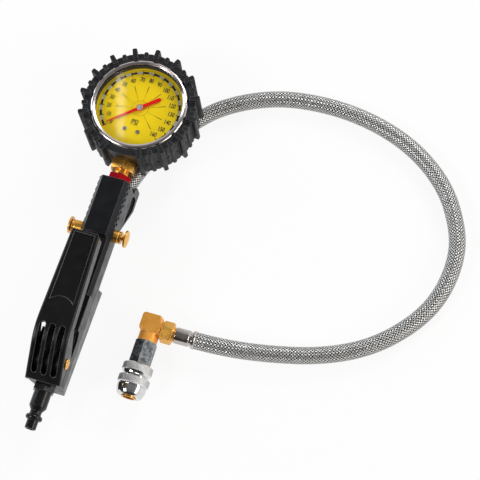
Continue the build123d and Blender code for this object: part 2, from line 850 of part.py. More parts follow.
# Gauge case, bezel, gasket, lens and dial
hub = upright(gauge_station)
hub_axis = line_z(gauge_station)
gasket_low = case_rim_height
lens_low = gasket_low + gasket_thickness
lens_top = lens_low + lens_thickness
lens_radius = case_radius - 0.3


def turned(points, axis=hub_axis, plane=hub):
    """Solid turned about the gauge's centre line from a closed outline of radius and height."""
    with BuildPart() as piece:
        with BuildSketch(plane):
            with BuildLine():
                Polyline(*points, close=True)
            make_face()
        revolve(axis=axis)
    return piece.part


case_inner = case_radius - case_wall
with BuildPart() as gauge_case:
    add(turned([(0, case_back), (case_radius, case_back), (case_radius, case_rim_height),
                (case_inner, case_rim_height), (case_inner, case_back + case_wall),
                (0, case_back + case_wall)]))
    with BuildSketch(across_plane(gauge_station - case_radius - 1)):
        Circle(socket_shank_radius + running_gap)
    extrude(amount=case_wall + 4, mode=Mode.SUBTRACT)

keep(gauge_case.part, "gauge_case")

bezel_inner = case_radius + 0.2
with BuildPart() as gauge_bezel:
    with BuildSketch(hub):
        with BuildLine():
            Polyline((bezel_inner, lens_top + 0.1), (bezel_inner, bezel_skirt_height),
                     (bezel_radius, bezel_skirt_height), (bezel_radius, bezel_height - bezel_round))
            ThreePointArc((bezel_radius, bezel_height - bezel_round),
                          (bezel_radius - bezel_round * 0.3, bezel_height - bezel_round * 0.3),
                          (bezel_radius - bezel_round, bezel_height))
            Polyline((bezel_radius - bezel_round, bezel_height), (bezel_opening, bezel_height - 0.7),
                     (bezel_opening, lens_top + 0.1), (bezel_inner, lens_top + 0.1))
        make_face()
    revolve(axis=hub_axis)

keep(gauge_bezel.part, "gauge_bezel")
gasket_inner = case_radius - gasket_width
gasket_high = lens_low - 0.05
keep(turned([(gasket_inner, gasket_low + 0.05), (lens_radius, gasket_low + 0.05),
             (lens_radius, gasket_high), (gasket_inner, gasket_high)]), "lens_gasket")
keep(turned([(0, lens_low), (lens_radius, lens_low), (lens_radius, lens_top), (0, lens_top)]),
     "gauge_lens")

dial_low = dial_height - dial_thickness
dial_hole = 1.3
screw_places = [(side_sign * dial_screw_half_pitch * cos(radians(dial_turn))
                 + dial_screw_offset * sin(radians(dial_turn)),
                 -dial_screw_offset * cos(radians(dial_turn))
                 + side_sign * dial_screw_half_pitch * sin(radians(dial_turn))) for side_sign in (-1, 1)]
gauge_face = Plane(origin=(0, y_at(gauge_station), z_at(0)))


def gauge_level(height):
    """Level plane at a height, with its origin on the gauge's centre line."""
    return gauge_face.offset(height)


dial_screw_radius = 0.8
with BuildPart() as gauge_dial:
    with BuildSketch(gauge_level(dial_low)):
        Circle(case_inner - 0.1)
        Circle(dial_hole, mode=Mode.SUBTRACT)
        with Locations(*screw_places):
            Circle(dial_screw_radius + running_gap, mode=Mode.SUBTRACT)
    extrude(amount=dial_thickness)

keep(gauge_dial.part, "gauge_dial")

# Movement: two plates on the gauge stem's block, with posts that carry the dial
plate_high_top = plate_high_height + plate_thickness
pivot_below = tooth_module * (pinion_teeth + sector_teeth_full) / 2 + movement_gap
arbor_radius = 0.9
plate_outline = [(-6.2, -24.5), (10, -24.5), (10, -14), (3.5, 7.8), (-3.5, 7.8), (-8.5, -13),
                 (-8.5, -19.5), (-6.2, -21.6)]
post_places = [(-4.4, -22.7), (7.9, -22.6), (0, 5.8)]
post_radius = 1.3
post_screw_radius = 0.6
post_screw_depth = 2.5
with BuildPart() as movement_base:
    with BuildSketch(gauge_level(plate_low_height)):
        with BuildLine():
            Polyline(*plate_outline, close=True)
        make_face()
        with Locations((0, 0), (0, -pivot_below)):
            Circle(arbor_radius + running_gap, mode=Mode.SUBTRACT)
    extrude(amount=plate_thickness)
    with BuildSketch(gauge_level(plate_low_height + plate_thickness)):
        with Locations(*post_places):
            Circle(post_radius)
    extrude(amount=plate_high_height - plate_low_height - plate_thickness)
    with BuildSketch(gauge_level(plate_high_height)):
        with Locations(*post_places):
            Circle(post_screw_radius + running_gap)
    extrude(amount=-post_screw_depth, mode=Mode.SUBTRACT)

keep(movement_base.part, "movement_base")

with BuildPart() as movement_top:
    with BuildSketch(gauge_level(plate_high_height)):
        with BuildLine():
            Polyline(*plate_outline, close=True)
        make_face()
        with Locations((0, 0), (0, -pivot_below)):
            Circle(arbor_radius + running_gap, mode=Mode.SUBTRACT)
        with Locations(*screw_places):
            Circle(dial_screw_radius + running_gap, mode=Mode.SUBTRACT)
        with Locations(*post_places):
            Circle(post_screw_radius + running_gap, mode=Mode.SUBTRACT)
    extrude(amount=plate_thickness)
    with BuildSketch(gauge_level(plate_high_top)):
        with Locations(*screw_places):
            Circle(1.7)
            Circle(dial_screw_radius + running_gap, mode=Mode.SUBTRACT)
    extrude(amount=dial_low - plate_high_top)

keep(movement_top.part, "movement_top")

plate_screws = []
for place in post_places:
    with BuildPart() as plate_screw:
        with BuildSketch(gauge_level(plate_high_top)):
            with Locations(place):
                Circle(1.1)
        extrude(amount=0.7)
        with BuildSketch(gauge_level(plate_high_height - post_screw_depth + 0.2)):
            with Locations(place):
                Circle(post_screw_radius)
        extrude(amount=plate_thickness + post_screw_depth - 0.2)
    plate_screws.append(plate_screw.part)
keep(Compound(children=plate_screws), "movement_screws")

screws = []
for place in screw_places:
    with BuildPart() as screw:
        with BuildSketch(gauge_level(dial_height)):
            with Locations(place):
                Circle(1.5)
        extrude(amount=0.8)
        with BuildSketch(gauge_level(dial_height + 0.45)):
            with Locations(place):
                Rectangle(4, 0.4, rotation=30)
        extrude(amount=1, mode=Mode.SUBTRACT)
        with BuildSketch(gauge_level(plate_high_height + 0.2)):
            with Locations(place):
                Circle(dial_screw_radius)
        extrude(amount=dial_height - plate_high_height - 0.2)
    screws.append(screw.part)
keep(Compound(children=screws), "dial_screws")


def tooth_ring(teeth, full, first_angle, outward=1.0, slack=0.10):
    """Outline points of straight-sided teeth on a pitch circle, from a first tooth's middle angle."""
    pitch_radius = tooth_module * full / 2
    tip = pitch_radius + 0.75 * tooth_module * outward
    root = pitch_radius - 1.15 * tooth_module * outward
    half_pitch = (pi * tooth_module / 2 - slack) / 2
    points = []
    for index in range(teeth):
        middle = radians(first_angle) + 2 * pi * index / full
        root_half = half_pitch + 0.30 * tooth_module
        tip_half = half_pitch - 0.26 * tooth_module
        for radius, half in ((root, root_half), (tip, tip_half), (tip, -tip_half), (root, -root_half)):
            angle = middle - half / radius
            points.append((radius * cos(angle), radius * sin(angle)))
    return points


# Sector gear: its arbor is below the pinion, and its tail takes the drive link
sector_low = plate_low_height + plate_thickness + 1.2
sector_high = sector_low + sector_thickness
sector_step = 360 / sector_teeth_full
sector_span = pointer_sweep * pinion_teeth / sector_teeth_full
teeth_below = int(sector_span / sector_step) + 2
sector_first = 90 - sector_step * teeth_below
sector_count = teeth_below + 2
arbor_place = (0, -pivot_below)


def about(centre, points):
    """Points moved to a centre."""
    return [(centre[0] + x, centre[1] + y) for x, y in points]


sector_teeth_points = tooth_ring(sector_count, sector_teeth_full, sector_first)
sector_left = atan2(sector_teeth_points[-1][1], sector_teeth_points[-1][0])
sector_right = atan2(sector_teeth_points[0][1], sector_teeth_points[0][0])
rim_inner = tooth_module * sector_teeth_full / 2 - 2.2
rim_angles = (sector_left, (sector_left + sector_right) / 2, sector_right)
rim_points = [(rim_inner * cos(angle), rim_inner * sin(angle)) for angle in rim_angles]
with BuildPart() as sector_gear:
    with BuildSketch(gauge_level(sector_low)):
        with BuildLine():
            Polyline(*about(arbor_place, sector_teeth_points))
            Polyline(*about(arbor_place, [sector_teeth_points[-1], rim_points[0]]))
            ThreePointArc(*about(arbor_place, rim_points))
            Polyline(*about(arbor_place, [rim_points[2], sector_teeth_points[0]]))
        make_face()
        with BuildLine():
            Polyline(*about(arbor_place, [(-2.0, 0), (2.0, 0),
                                          (rim_points[2][0] + 0.3, rim_points[2][1] + 1.0),
                                          (rim_points[0][0] - 0.3, rim_points[0][1] + 1.0)]), close=True)
        make_face()
        with Locations(arbor_place):
            Circle(2.4)
        with BuildLine():
            Polyline(*about(arbor_place, [(0, -1.3), (sector_tail, -1.3), (sector_tail, 1.3),
                                          (0, 1.3)]), close=True)
        make_face()
        with Locations((arbor_place[0] + sector_tail, arbor_place[1])):
            Circle(1.3)
    extrude(amount=sector_thickness)
    with BuildSketch(gauge_level(plate_low_height + 0.1)):
        with Locations(arbor_place):
            Circle(arbor_radius)
    extrude(amount=plate_high_top - plate_low_height - 0.2)
    with BuildSketch(gauge_level(sector_high)):
        with Locations((arbor_place[0] + sector_tail, arbor_place[1])):
            Circle(0.6)
    extrude(amount=1.5)

keep(sector_gear.part, "sector_gear")

# Pinion on the pointer's spindle, with a tooth gap facing the sector at rest
pinion_first = 270 - 180 / pinion_teeth
with BuildPart() as pinion_shaft:
    with BuildSketch(gauge_level(sector_low - 0.5)):
        with BuildLine():
            Polyline(*tooth_ring(pinion_teeth, pinion_teeth, pinion_first), close=True)
        make_face()
    extrude(amount=sector_thickness + 1.0)
    with BuildSketch(gauge_level(plate_low_height + 0.1)):
        Circle(arbor_radius)
    extrude(amount=pointer_height + pointer_thickness - plate_low_height - 0.1)

keep(pinion_shaft.part, "pinion_shaft")

# Hair spring: a flat spiral of half circles between the pinion and the top plate
spiral_start = 1.5
spiral_step = 0.36
spiral_low = sector_high + 0.8
with BuildPart() as hair_spring:
    with BuildSketch(gauge_level(spiral_low)):
        with BuildLine():
            for turn in range(7):
                odd = turn % 2
                CenterArc((odd * spiral_step, 0), spiral_start + spiral_step * turn, 180 * odd, 180)
        trace(line_width=0.22)
    extrude(amount=0.7)

keep(hair_spring.part, "hair_spring")

# Drive link from the sector's tail to the tube's tip, with an open eye at the tip
link_start = (arbor_place[0] + sector_tail, arbor_place[1])
link_low = sector_high + 0.3
link_angle = degrees(atan2(tip_station_y - link_start[1], tip_station_x - link_start[0]))
tip_distance = sqrt((tip_station_x - link_start[0]) ** 2 + (tip_station_y - link_start[1]) ** 2)
link_length = tip_distance - link_slack
link_direction = (cos(radians(link_angle)), sin(radians(link_angle)))
link_end = (link_start[0] + link_length * link_direction[0],
            link_start[1] + link_length * link_direction[1])
link_middle = ((link_start[0] + link_end[0]) / 2, (link_start[1] + link_end[1]) / 2)
with BuildPart() as drive_link:
    with BuildSketch(gauge_level(link_low)):
        with Locations(Location((*link_middle, 0), (0, 0, link_angle))):
            Rectangle(link_length, 1.6)
        with Locations(link_start):
            Circle(1.3)
        with Locations(link_end):
            Circle(link_eye_radius + 0.8)
            Circle(link_eye_radius, mode=Mode.SUBTRACT)
        with Locations(link_start):
            Circle(0.6 + running_gap, mode=Mode.SUBTRACT)
    extrude(amount=0.7)

keep(drive_link.part, "drive_link")

# Pressure tube: a flat C-shaped tube from the stem's block to its closed tip
tube_low = link_low - 0.4 - tube_depth
tube_inner = tube_mean_radius - tube_width / 2
tube_outer = tube_mean_radius + tube_width / 2
with BuildPart() as bourdon_tube:
    with BuildSketch(gauge_level(tube_low)):
        with BuildLine():
            CenterArc((0, 0), tube_mean_radius, tube_end, tube_start - tube_end)
        trace(line_width=tube_width)
        with Locations((0, -gauge_station + block_start + socket_block_length / 2)):
            Rectangle(socket_block_width, socket_block_length + 4, mode=Mode.SUBTRACT)
    extrude(amount=tube_depth)

keep(bourdon_tube.part, "bourdon_tube")

tip_angle = tube_end - 3.0
with BuildPart() as tube_tip:
    with BuildSketch(gauge_level(tube_low + 0.5)):
        with BuildLine():
            CenterArc((0, 0), tube_mean_radius, tube_end - 7.0, 7.0)
        trace(line_width=tube_width)
        with BuildLine():
            Line((tube_mean_radius * cos(radians(tip_angle)), tube_mean_radius * sin(radians(tip_angle))),
                 (tip_station_x, tip_station_y))
        trace(line_width=2.4)
    extrude(amount=tube_depth - 0.5)
    with BuildSketch(gauge_level(tube_low + tube_depth)):
        with Locations((tip_station_x, tip_station_y)):
            Circle(tip_pin_radius)
    extrude(amount=1.6)

keep(tube_tip.part, "tube_tip")

# Pointer and its cap
pointer_direction = radians(pointer_rest)


def along(reach, offset):
    """Point at a reach along the pointer and an offset to its left."""
    return (reach * cos(pointer_direction) - offset * sin(pointer_direction),
            reach * sin(pointer_direction) + offset * cos(pointer_direction))


with BuildPart() as gauge_pointer:
    with BuildSketch(gauge_level(pointer_height)):
        with BuildLine():
            Polyline(along(-pointer_tail, 1.4), along(0, 1.2), along(pointer_reach, 0.25),
                     along(pointer_reach, -0.25), along(0, -1.2), along(-pointer_tail, -1.4), close=True)
        make_face()
        Circle(2.2)
        with Locations(along(-pointer_tail, 0)):
            Circle(1.4)
        Circle(arbor_radius + running_gap, mode=Mode.SUBTRACT)
    extrude(amount=pointer_thickness)

keep(gauge_pointer.part, "gauge_pointer")

cap_low = pointer_height + pointer_thickness
keep(turned([(0, cap_low), (pointer_cap_radius, cap_low), (pointer_cap_radius, cap_low + 0.4),
             (pointer_cap_radius - 0.5, cap_low + 0.7), (1.0, cap_low + 0.7), (0.8, cap_low + 0.45),
             (0, cap_low + 0.45)]), "pointer_cap")

# Rubber boot with tall and short lugs and two rows of low blocks
first_lug = 90 + boot_turn - lug_pitch * (tall_lug_count - 1) / 2


def radial(width, inner, outer, count, first):
    """Rounded bars set round the centre at the lugs' pitch, from an inner to an outer radius."""
    with PolarLocations((inner + outer) / 2, count, start_angle=first,
                        angular_range=lug_pitch * (count - 1), endpoint=True):
        RectangleRounded(outer - inner, width, lug_round)


boot_inner_front = bezel_radius + boot_fit
boot_inner_back = case_radius + boot_fit
boot_floor_radius = boot_inner_back - 3.2
boot_floor = case_back - boot_fit / 2
step_height = bezel_skirt_height - boot_fit
lug_foot_radius = boot_inner_front + 0.6
half_pitch = lug_pitch / 2
with BuildPart() as tread_boot:
    with BuildSketch(gauge_level(boot_back)):
        Circle(boot_base_radius)
    extrude(amount=boot_ring_front - boot_back)
    with BuildSketch(gauge_level(boot_back)):
        radial(tall_lug_width, lug_foot_radius, lug_radius, tall_lug_count, first_lug)
    extrude(amount=tall_lug_front - boot_back)
    with BuildSketch(gauge_level(boot_back)):
        radial(short_lug_width, lug_foot_radius + 1, boot_base_radius + short_lug_rise, tall_lug_count - 1,
               first_lug + half_pitch)
    extrude(amount=short_lug_front - boot_back)
    for low, high in ((boot_back + 0.8, 3.0), (8.0, boot_ring_front - 0.8)):
        with BuildSketch(gauge_level(low)):
            for share in (0.26, 0.74):
                radial(block_width, boot_base_radius - 3, boot_base_radius + block_rise,
                       tall_lug_count - 1, first_lug + lug_pitch * share)
        extrude(amount=high - low)
    with BuildSketch(hub):
        with BuildLine():
            Polyline((0, boot_back - 1), (boot_floor_radius, boot_back - 1),
                     (boot_floor_radius, boot_floor), (boot_inner_back, boot_floor),
                     (boot_inner_back, step_height), (boot_inner_front, step_height),
                     (boot_inner_front, tall_lug_front + 1), (0, tall_lug_front + 1), close=True)
        make_face()
    revolve(axis=hub_axis, mode=Mode.SUBTRACT)
    # slot for the stem, closed in front of it
    slot_outer = lug_radius + 5
    with BuildSketch(gauge_level(boot_back - 1)):
        with Locations((0, -(slot_outer + boot_base_radius) / 2)):
            Rectangle(boot_stem_slot, slot_outer - boot_base_radius + 0.4)
    extrude(amount=tall_lug_front - boot_back + 2, mode=Mode.SUBTRACT)
    slot_inner = boot_floor_radius + 1
    with BuildSketch(gauge_level(boot_back - 1)):
        with Locations((0, -(slot_outer + slot_inner) / 2)):
            Rectangle(boot_stem_slot, slot_outer - slot_inner)
    extrude(amount=socket_hex_across / sqrt(3) + 0.4 - boot_back + 1, mode=Mode.SUBTRACT)

keep(tread_boot.part, "tread_boot")

# Hose: its end fitting in the boss, then the route laid on the surface
nipple_length = 4.0
nipple_plane = Plane(origin=port_bottom, z_dir=port_direction)
with BuildPart() as hose_nipple:
    with BuildSketch(nipple_plane):
        Circle(hose_radius - 0.2)
        Circle(2.5, mode=Mode.SUBTRACT)
    extrude(amount=nipple_length)

keep(hose_nipple.part, "hose_nipple")

hose_start = tuple(b + nipple_length * d for b, d in zip(port_bottom, port_direction))
hose_end = (ferrule_start, y_at(elbow_station), chuck_height)
hose_lead = tuple(m + port_lead * d for m, d in zip(port_mouth, port_direction))
hose_places = [(x, y_at(station), z) for x, station, z in hose_route]
hose_points = [hose_start, hose_lead] + hose_places + [hose_end]
vectors = [Vector(*point) for point in hose_points]
hose_radii = []
for before, corner, after in zip(vectors, vectors[1:], vectors[2:]):
    turn = (corner - before).get_angle(after - corner)
    shorter = min((corner - before).length, (after - corner).length)
    hose_radii.append(0.45 * shorter / tan(radians(turn / 2)))
print("hose radii", [round(radius, 1) for radius in hose_radii])

with BuildPart() as hose:
    with BuildLine():
        hose_line = FilletPolyline(*hose_points, radius=hose_radii)
    with BuildSketch(Plane(origin=hose_line @ 0, z_dir=hose_line % 0)):
        Circle(hose_radius)
    sweep(path=hose_line)
print("hose length", round(hose_line.length, 1), "volume over section times length",
      round(hose.part.volume / (pi * hose_radius ** 2 * hose_line.length), 4))

keep(hose.part, "hose")

# Crimped ferrule, end hexagon and elbow, all level at the chuck's height
hose_end_height = chuck_height - axis_height
ferrule_plane = Plane(origin=(0, y_at(elbow_station), chuck_height), x_dir=(0, 1, 0), z_dir=(0, 0, 1))
ferrule_axis = Axis((0, y_at(elbow_station), chuck_height), (1, 0, 0))
ferrule_bore = 3.0
ring_end = ferrule_start - ferrule_ring_length
groove_end = ring_end - 2 * ferrule_groove
with BuildPart() as hose_ferrule:
    with BuildSketch(ferrule_plane):
        with BuildLine():
            Polyline((ferrule_bore, -ferrule_start), (ferrule_ring_radius - 0.5, -ferrule_start),
                     (ferrule_ring_radius, -ferrule_start + 0.6), (ferrule_ring_radius, -ring_end - 0.5),
                     (ferrule_ring_radius - 0.5, -ring_end), (ferrule_radius - ferrule_groove, -ring_end),
                     (ferrule_radius - ferrule_groove, -groove_end - 0.5),
                     (ferrule_radius - 0.4, -groove_end), (ferrule_radius, -groove_end + 0.5),
                     (ferrule_radius, -ferrule_end - 0.6), (ferrule_radius - 0.6, -ferrule_end),
                     (ferrule_bore, -ferrule_end), close=True)
        make_face()
    revolve(axis=ferrule_axis)

keep(hose_ferrule.part, "hose_ferrule")


def facing_x(x):
    """Plane square to the hose's end, at a place along X."""
    return Plane(origin=(x, y_at(elbow_station), chuck_height), x_dir=(0, 1, 0), z_dir=(1, 0, 0))


end_hex_start = end_hex_end + end_hex_length
with BuildPart() as hose_end_hex:
    with BuildSketch(facing_x(end_hex_end)):
        RegularPolygon(end_hex_across / 2, 6, major_radius=False, rotation=20)
        Circle(ferrule_bore, mode=Mode.SUBTRACT)
    extrude(amount=end_hex_length)
    hex_corner = end_hex_across / sqrt(3)
    for x, inward in ((end_hex_end, 1), (end_hex_start, -1)):
        with BuildSketch(ferrule_plane):
            with BuildLine():
                Polyline((hex_corner - 1.0, -x), (hex_corner + 1, -x), (hex_corner + 1, -x - inward * 1.2),
                         close=True)
            make_face()
        revolve(axis=ferrule_axis, mode=Mode.SUBTRACT)
    with BuildSketch(facing_x(end_hex_start)):
        Circle(end_neck_radius)
        Circle(ferrule_bore, mode=Mode.SUBTRACT)
    extrude(amount=ferrule_end - end_hex_start)

keep(hose_end_hex.part, "hose_end_hex")

elbow_right = chuck_x + elbow_half_width
chuck_profile = profile_plane(chuck_x, hose_end_height)
chuck_axis = line_y(chuck_x, hose_end_height)
elbow_reach = sqrt(elbow_half_width ** 2 + elbow_half_depth ** 2) + 1
with BuildPart() as elbow_fitting:
    with BuildSketch(Plane.XY.offset(chuck_height - elbow_half_depth)):
        with Locations((chuck_x, y_at((elbow_bottom_station + elbow_top_station) / 2))):
            RectangleRounded(2 * elbow_half_width, elbow_top_station - elbow_bottom_station, elbow_corner)
    extrude(amount=2 * elbow_half_depth)
    # turned bevels at the end towards the chuck and the end towards the hose
    with BuildSketch(chuck_profile):
        with BuildLine():
            Polyline((elbow_neck_radius, elbow_bottom_station), (elbow_reach, elbow_bottom_station),
                     (elbow_reach, elbow_bottom_station + elbow_turned_bevel), close=True)
        make_face()
    revolve(axis=chuck_axis, mode=Mode.SUBTRACT)
    with BuildSketch(ferrule_plane):
        with BuildLine():
            Polyline((elbow_neck_radius, -elbow_right), (elbow_reach, -elbow_right),
                     (elbow_reach, -elbow_right + elbow_turned_bevel), close=True)
        make_face()
    revolve(axis=ferrule_axis, mode=Mode.SUBTRACT)
    with BuildSketch(facing_x(elbow_right - elbow_corner)):
        Circle(elbow_end_radius)
    extrude(amount=end_hex_end - elbow_right + elbow_corner)
    with BuildSketch(across_plane(elbow_neck_end, chuck_x, hose_end_height)):
        Circle(elbow_neck_radius)
    extrude(amount=elbow_bottom_station - elbow_neck_end + elbow_corner)
    with BuildSketch(across_plane(elbow_neck_end, chuck_x, hose_end_height)):
        Circle(elbow_bore_radius)
    extrude(amount=elbow_station - elbow_neck_end + elbow_bore_radius + 1, mode=Mode.SUBTRACT)
    with BuildSketch(facing_x(chuck_x)):
        Circle(elbow_bore_radius - 0.5)
    extrude(amount=end_hex_end - chuck_x, mode=Mode.SUBTRACT)

keep(elbow_fitting.part, "elbow_fitting")

# Lock-on chuck: hexagon stem, core with balls, seal, pin, spring and sliding sleeve
stem_corner = stem_hex_across / sqrt(3)
core_back = stem_hex_end + 8.0


def chuck_turned(points):
    """Solid turned about the chuck's own axis from radius and station."""
    with BuildPart() as piece:
        with BuildSketch(chuck_profile):
            with BuildLine():
                Polyline(*points, close=True)
            make_face()
        revolve(axis=chuck_axis)
    return piece.part


core_thread_radius = 5.0
with BuildPart() as chuck_stem:
    with BuildSketch(across_plane(stem_hex_end, chuck_x, hose_end_height)):
        RegularPolygon(stem_hex_across / 2, 6, major_radius=False, rotation=30)
    extrude(amount=elbow_neck_end - stem_hex_end)
    add(chuck_turned([(stem_corner - 0.9, stem_hex_end - 0.01), (stem_corner + 1, stem_hex_end - 0.01),
                      (stem_corner + 1, stem_hex_end + 1.2)]), mode=Mode.SUBTRACT)
    add(chuck_turned([(stem_corner - 0.9, elbow_neck_end + 0.01), (stem_corner + 1, elbow_neck_end + 0.01),
                      (stem_corner + 1, elbow_neck_end - 1.2)]), mode=Mode.SUBTRACT)
    with BuildSketch(across_plane(stem_hex_end, chuck_x, hose_end_height)):
        Circle(core_thread_radius + running_gap)
    extrude(amount=core_back - stem_hex_end, mode=Mode.SUBTRACT)
    with BuildSketch(across_plane(stem_hex_end, chuck_x, hose_end_height)):
        Circle(elbow_bore_radius)
    extrude(amount=elbow_neck_end - stem_hex_end, mode=Mode.SUBTRACT)

keep(chuck_stem.part, "chuck_stem")

seal_station = 58.0
seal_length = 2.0
seat_station = seal_station + seal_length
pin_flange = 1.5
pin_flange_end = seat_station + pin_flange + 0.1
core_step = 47.0
relief_bore = core_bore_radius + mouth_relief
with BuildPart() as chuck_core:
    add(chuck_turned([(core_bore_radius, core_front), (core_nose_radius, core_front),
                      (core_nose_radius, core_step), (core_radius, core_step), (core_radius, stem_hex_end),
                      (core_thread_radius, stem_hex_end), (core_thread_radius, core_back),
                      (elbow_bore_radius, core_back), (elbow_bore_radius, pin_flange_end),
                      (seat_bore_radius, pin_flange_end), (seat_bore_radius, relief_end_station),
                      (relief_bore, relief_end_station), (relief_bore, core_front + mouth_length),
                      (core_bore_radius, core_front + mouth_length)]))
    ball_reach = core_bore_radius - 0.45 + ball_radius
    for index in range(ball_count):
        turn = radians(360 / ball_count * index + 45)
        outward = (cos(turn), 0, sin(turn))
        with BuildSketch(Plane(origin=(chuck_x, y_at(ball_station), chuck_height), z_dir=outward)):
            Circle(ball_radius + running_gap)
        extrude(amount=core_radius + 1, mode=Mode.SUBTRACT)

keep(chuck_core.part, "chuck_core")

balls = []
for index in range(ball_count):
    turn = radians(360 / ball_count * index + 45)
    with BuildPart() as ball:
        with Locations((chuck_x + ball_reach * cos(turn), y_at(ball_station),
                        chuck_height + ball_reach * sin(turn))):
            Sphere(ball_radius)
    balls.append(ball.part)
keep(Compound(children=balls), "chuck_balls")

seal_bore = 1.9
flange_radius = seat_bore_radius - running_gap
keep(chuck_turned([(seal_bore, seal_station), (flange_radius, seal_station),
                   (flange_radius, seat_station - running_gap), (seal_bore, seat_station - running_gap)]),
     "chuck_seal")

pin_reach = 52.5
core_pin_radius = 1.1
pin_hole_radius = 0.7
with BuildPart() as core_pin:
    add(chuck_turned([(0, pin_reach), (core_pin_radius, pin_reach), (core_pin_radius, seat_station),
                      (0, seat_station)]))
    with BuildSketch(across_plane(seat_station, chuck_x, hose_end_height)):
        Circle(flange_radius)
        with PolarLocations((core_pin_radius + flange_radius) / 2, 3):
            Circle(pin_hole_radius, mode=Mode.SUBTRACT)
    extrude(amount=pin_flange)

keep(core_pin.part, "core_pin")

spring_radius = (core_radius + sleeve_bore_radius) / 2
chuck_spring_start = sleeve_shoulder + chuck_spring_wire / 2 + 0.1
chuck_spring_end = stem_hex_end - chuck_spring_wire / 2 - 0.1
chuck_spring = coil((chuck_x, y_at(chuck_spring_start), chuck_height), (0, 1, 0),
                    chuck_spring_end - chuck_spring_start, chuck_spring_turns, spring_radius,
                    chuck_spring_wire)
keep(chuck_spring, "chuck_spring")

mouth_step = core_step - sleeve_travel - seat_gap
groove_radius = sleeve_band_radius - sleeve_groove_depth
groove_middle = (sleeve_band_end + sleeve_second_band) / 2
neck_middle = (sleeve_second_end + sleeve_nose_start) / 2
with BuildPart() as chuck_sleeve:
    with BuildSketch(chuck_profile):
        with BuildLine():
            Polyline((sleeve_mouth_radius, sleeve_front), (sleeve_nose_front_radius - 1.0, sleeve_front),
                     (sleeve_nose_front_radius, sleeve_front + 1.1))
            ThreePointArc((sleeve_nose_front_radius, sleeve_front + 1.1),
                          ((sleeve_nose_front_radius + sleeve_nose_radius) / 2 + 0.25,
                           (sleeve_front + sleeve_nose_start) / 2),
                          (sleeve_nose_radius, sleeve_nose_start - sleeve_break))
            Polyline((sleeve_nose_radius, sleeve_nose_start - sleeve_break),
                     (sleeve_nose_radius - sleeve_break, sleeve_nose_start),
                     (sleeve_nose_radius - sleeve_break, neck_middle),
                     (sleeve_large_radius - sleeve_break, sleeve_second_end),
                     (sleeve_large_radius, sleeve_second_end + sleeve_break),
                     (sleeve_large_radius, sleeve_second_band - sleeve_break),
                     (sleeve_large_radius - sleeve_break, sleeve_second_band),
                     (groove_radius, groove_middle),
                     (sleeve_band_radius - sleeve_break, sleeve_band_end),
                     (sleeve_band_radius, sleeve_band_end + sleeve_break),
                     (sleeve_band_radius, sleeve_back - sleeve_break),
                     (sleeve_band_radius - sleeve_break, sleeve_back), (sleeve_bore_radius, sleeve_back),
                     (sleeve_bore_radius, sleeve_shoulder),
                     (core_radius + 3 * running_gap, sleeve_shoulder),
                     (core_radius + 3 * running_gap, mouth_step), (sleeve_mouth_radius, mouth_step),
                     (sleeve_mouth_radius, sleeve_front))
        make_face()
    revolve(axis=chuck_axis)

keep(chuck_sleeve.part, "chuck_sleeve")

print(len(made), "pieces written")
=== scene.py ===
import math

import bmesh
import bpy
import numpy as np
from mathutils import Matrix, Vector


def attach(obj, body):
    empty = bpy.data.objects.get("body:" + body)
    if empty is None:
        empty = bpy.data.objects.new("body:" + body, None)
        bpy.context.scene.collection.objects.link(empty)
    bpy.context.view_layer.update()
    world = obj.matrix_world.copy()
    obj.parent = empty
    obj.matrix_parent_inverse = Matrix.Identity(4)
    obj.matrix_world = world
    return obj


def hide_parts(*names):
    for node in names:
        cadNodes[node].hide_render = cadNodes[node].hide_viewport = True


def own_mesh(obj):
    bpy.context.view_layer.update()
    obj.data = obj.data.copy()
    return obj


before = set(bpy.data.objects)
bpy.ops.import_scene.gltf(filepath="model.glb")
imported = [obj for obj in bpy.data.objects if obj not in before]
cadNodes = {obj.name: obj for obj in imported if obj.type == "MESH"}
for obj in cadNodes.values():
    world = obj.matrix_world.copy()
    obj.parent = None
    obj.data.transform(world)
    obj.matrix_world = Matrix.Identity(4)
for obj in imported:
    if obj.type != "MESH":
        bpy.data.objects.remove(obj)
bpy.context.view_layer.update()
print("frame loaded:", len(cadNodes), "nodes")

mm = 0.001
overall = 285.4   # plug tip to the top lug, millimetres
axisHeight = 24.0


def placeMm(x, station, height):
    # across, station from the plug's tip and height from the stem axis, as metres in the frame
    return (x * mm, (station - overall / 2) * mm, (height + axisHeight) * mm)


# camera: the lens's place and three unit directions of the photograph's view
cameraSet = {
    "place": (0.2542, -0.288, 0.938),
    "right": (0.9546, 0.2906, -0.0648),
    "up": (-0.2506, 0.9018, 0.3521),
    "back": (0.1607, -0.3199, 0.9337),
    "lens": 105.0, "sensor": 36.0, "nearest": 0.05, "farthest": 20.0,
}


def aimCamera(settings):
    # the three directions are the columns of the camera's turn
    data = bpy.data.cameras.new("photoCamera")
    data.lens = settings["lens"]
    data.sensor_width = settings["sensor"]
    data.clip_start = settings["nearest"]
    data.clip_end = settings["farthest"]
    camera = bpy.data.objects.new("photoCamera", data)
    turn = Matrix((settings["right"], settings["up"], settings["back"])).transposed()
    camera.matrix_world = Matrix.Translation(settings["place"]) @ turn.to_4x4()
    bpy.context.scene.collection.objects.link(camera)
    bpy.context.scene.camera = camera


aimCamera(cameraSet)


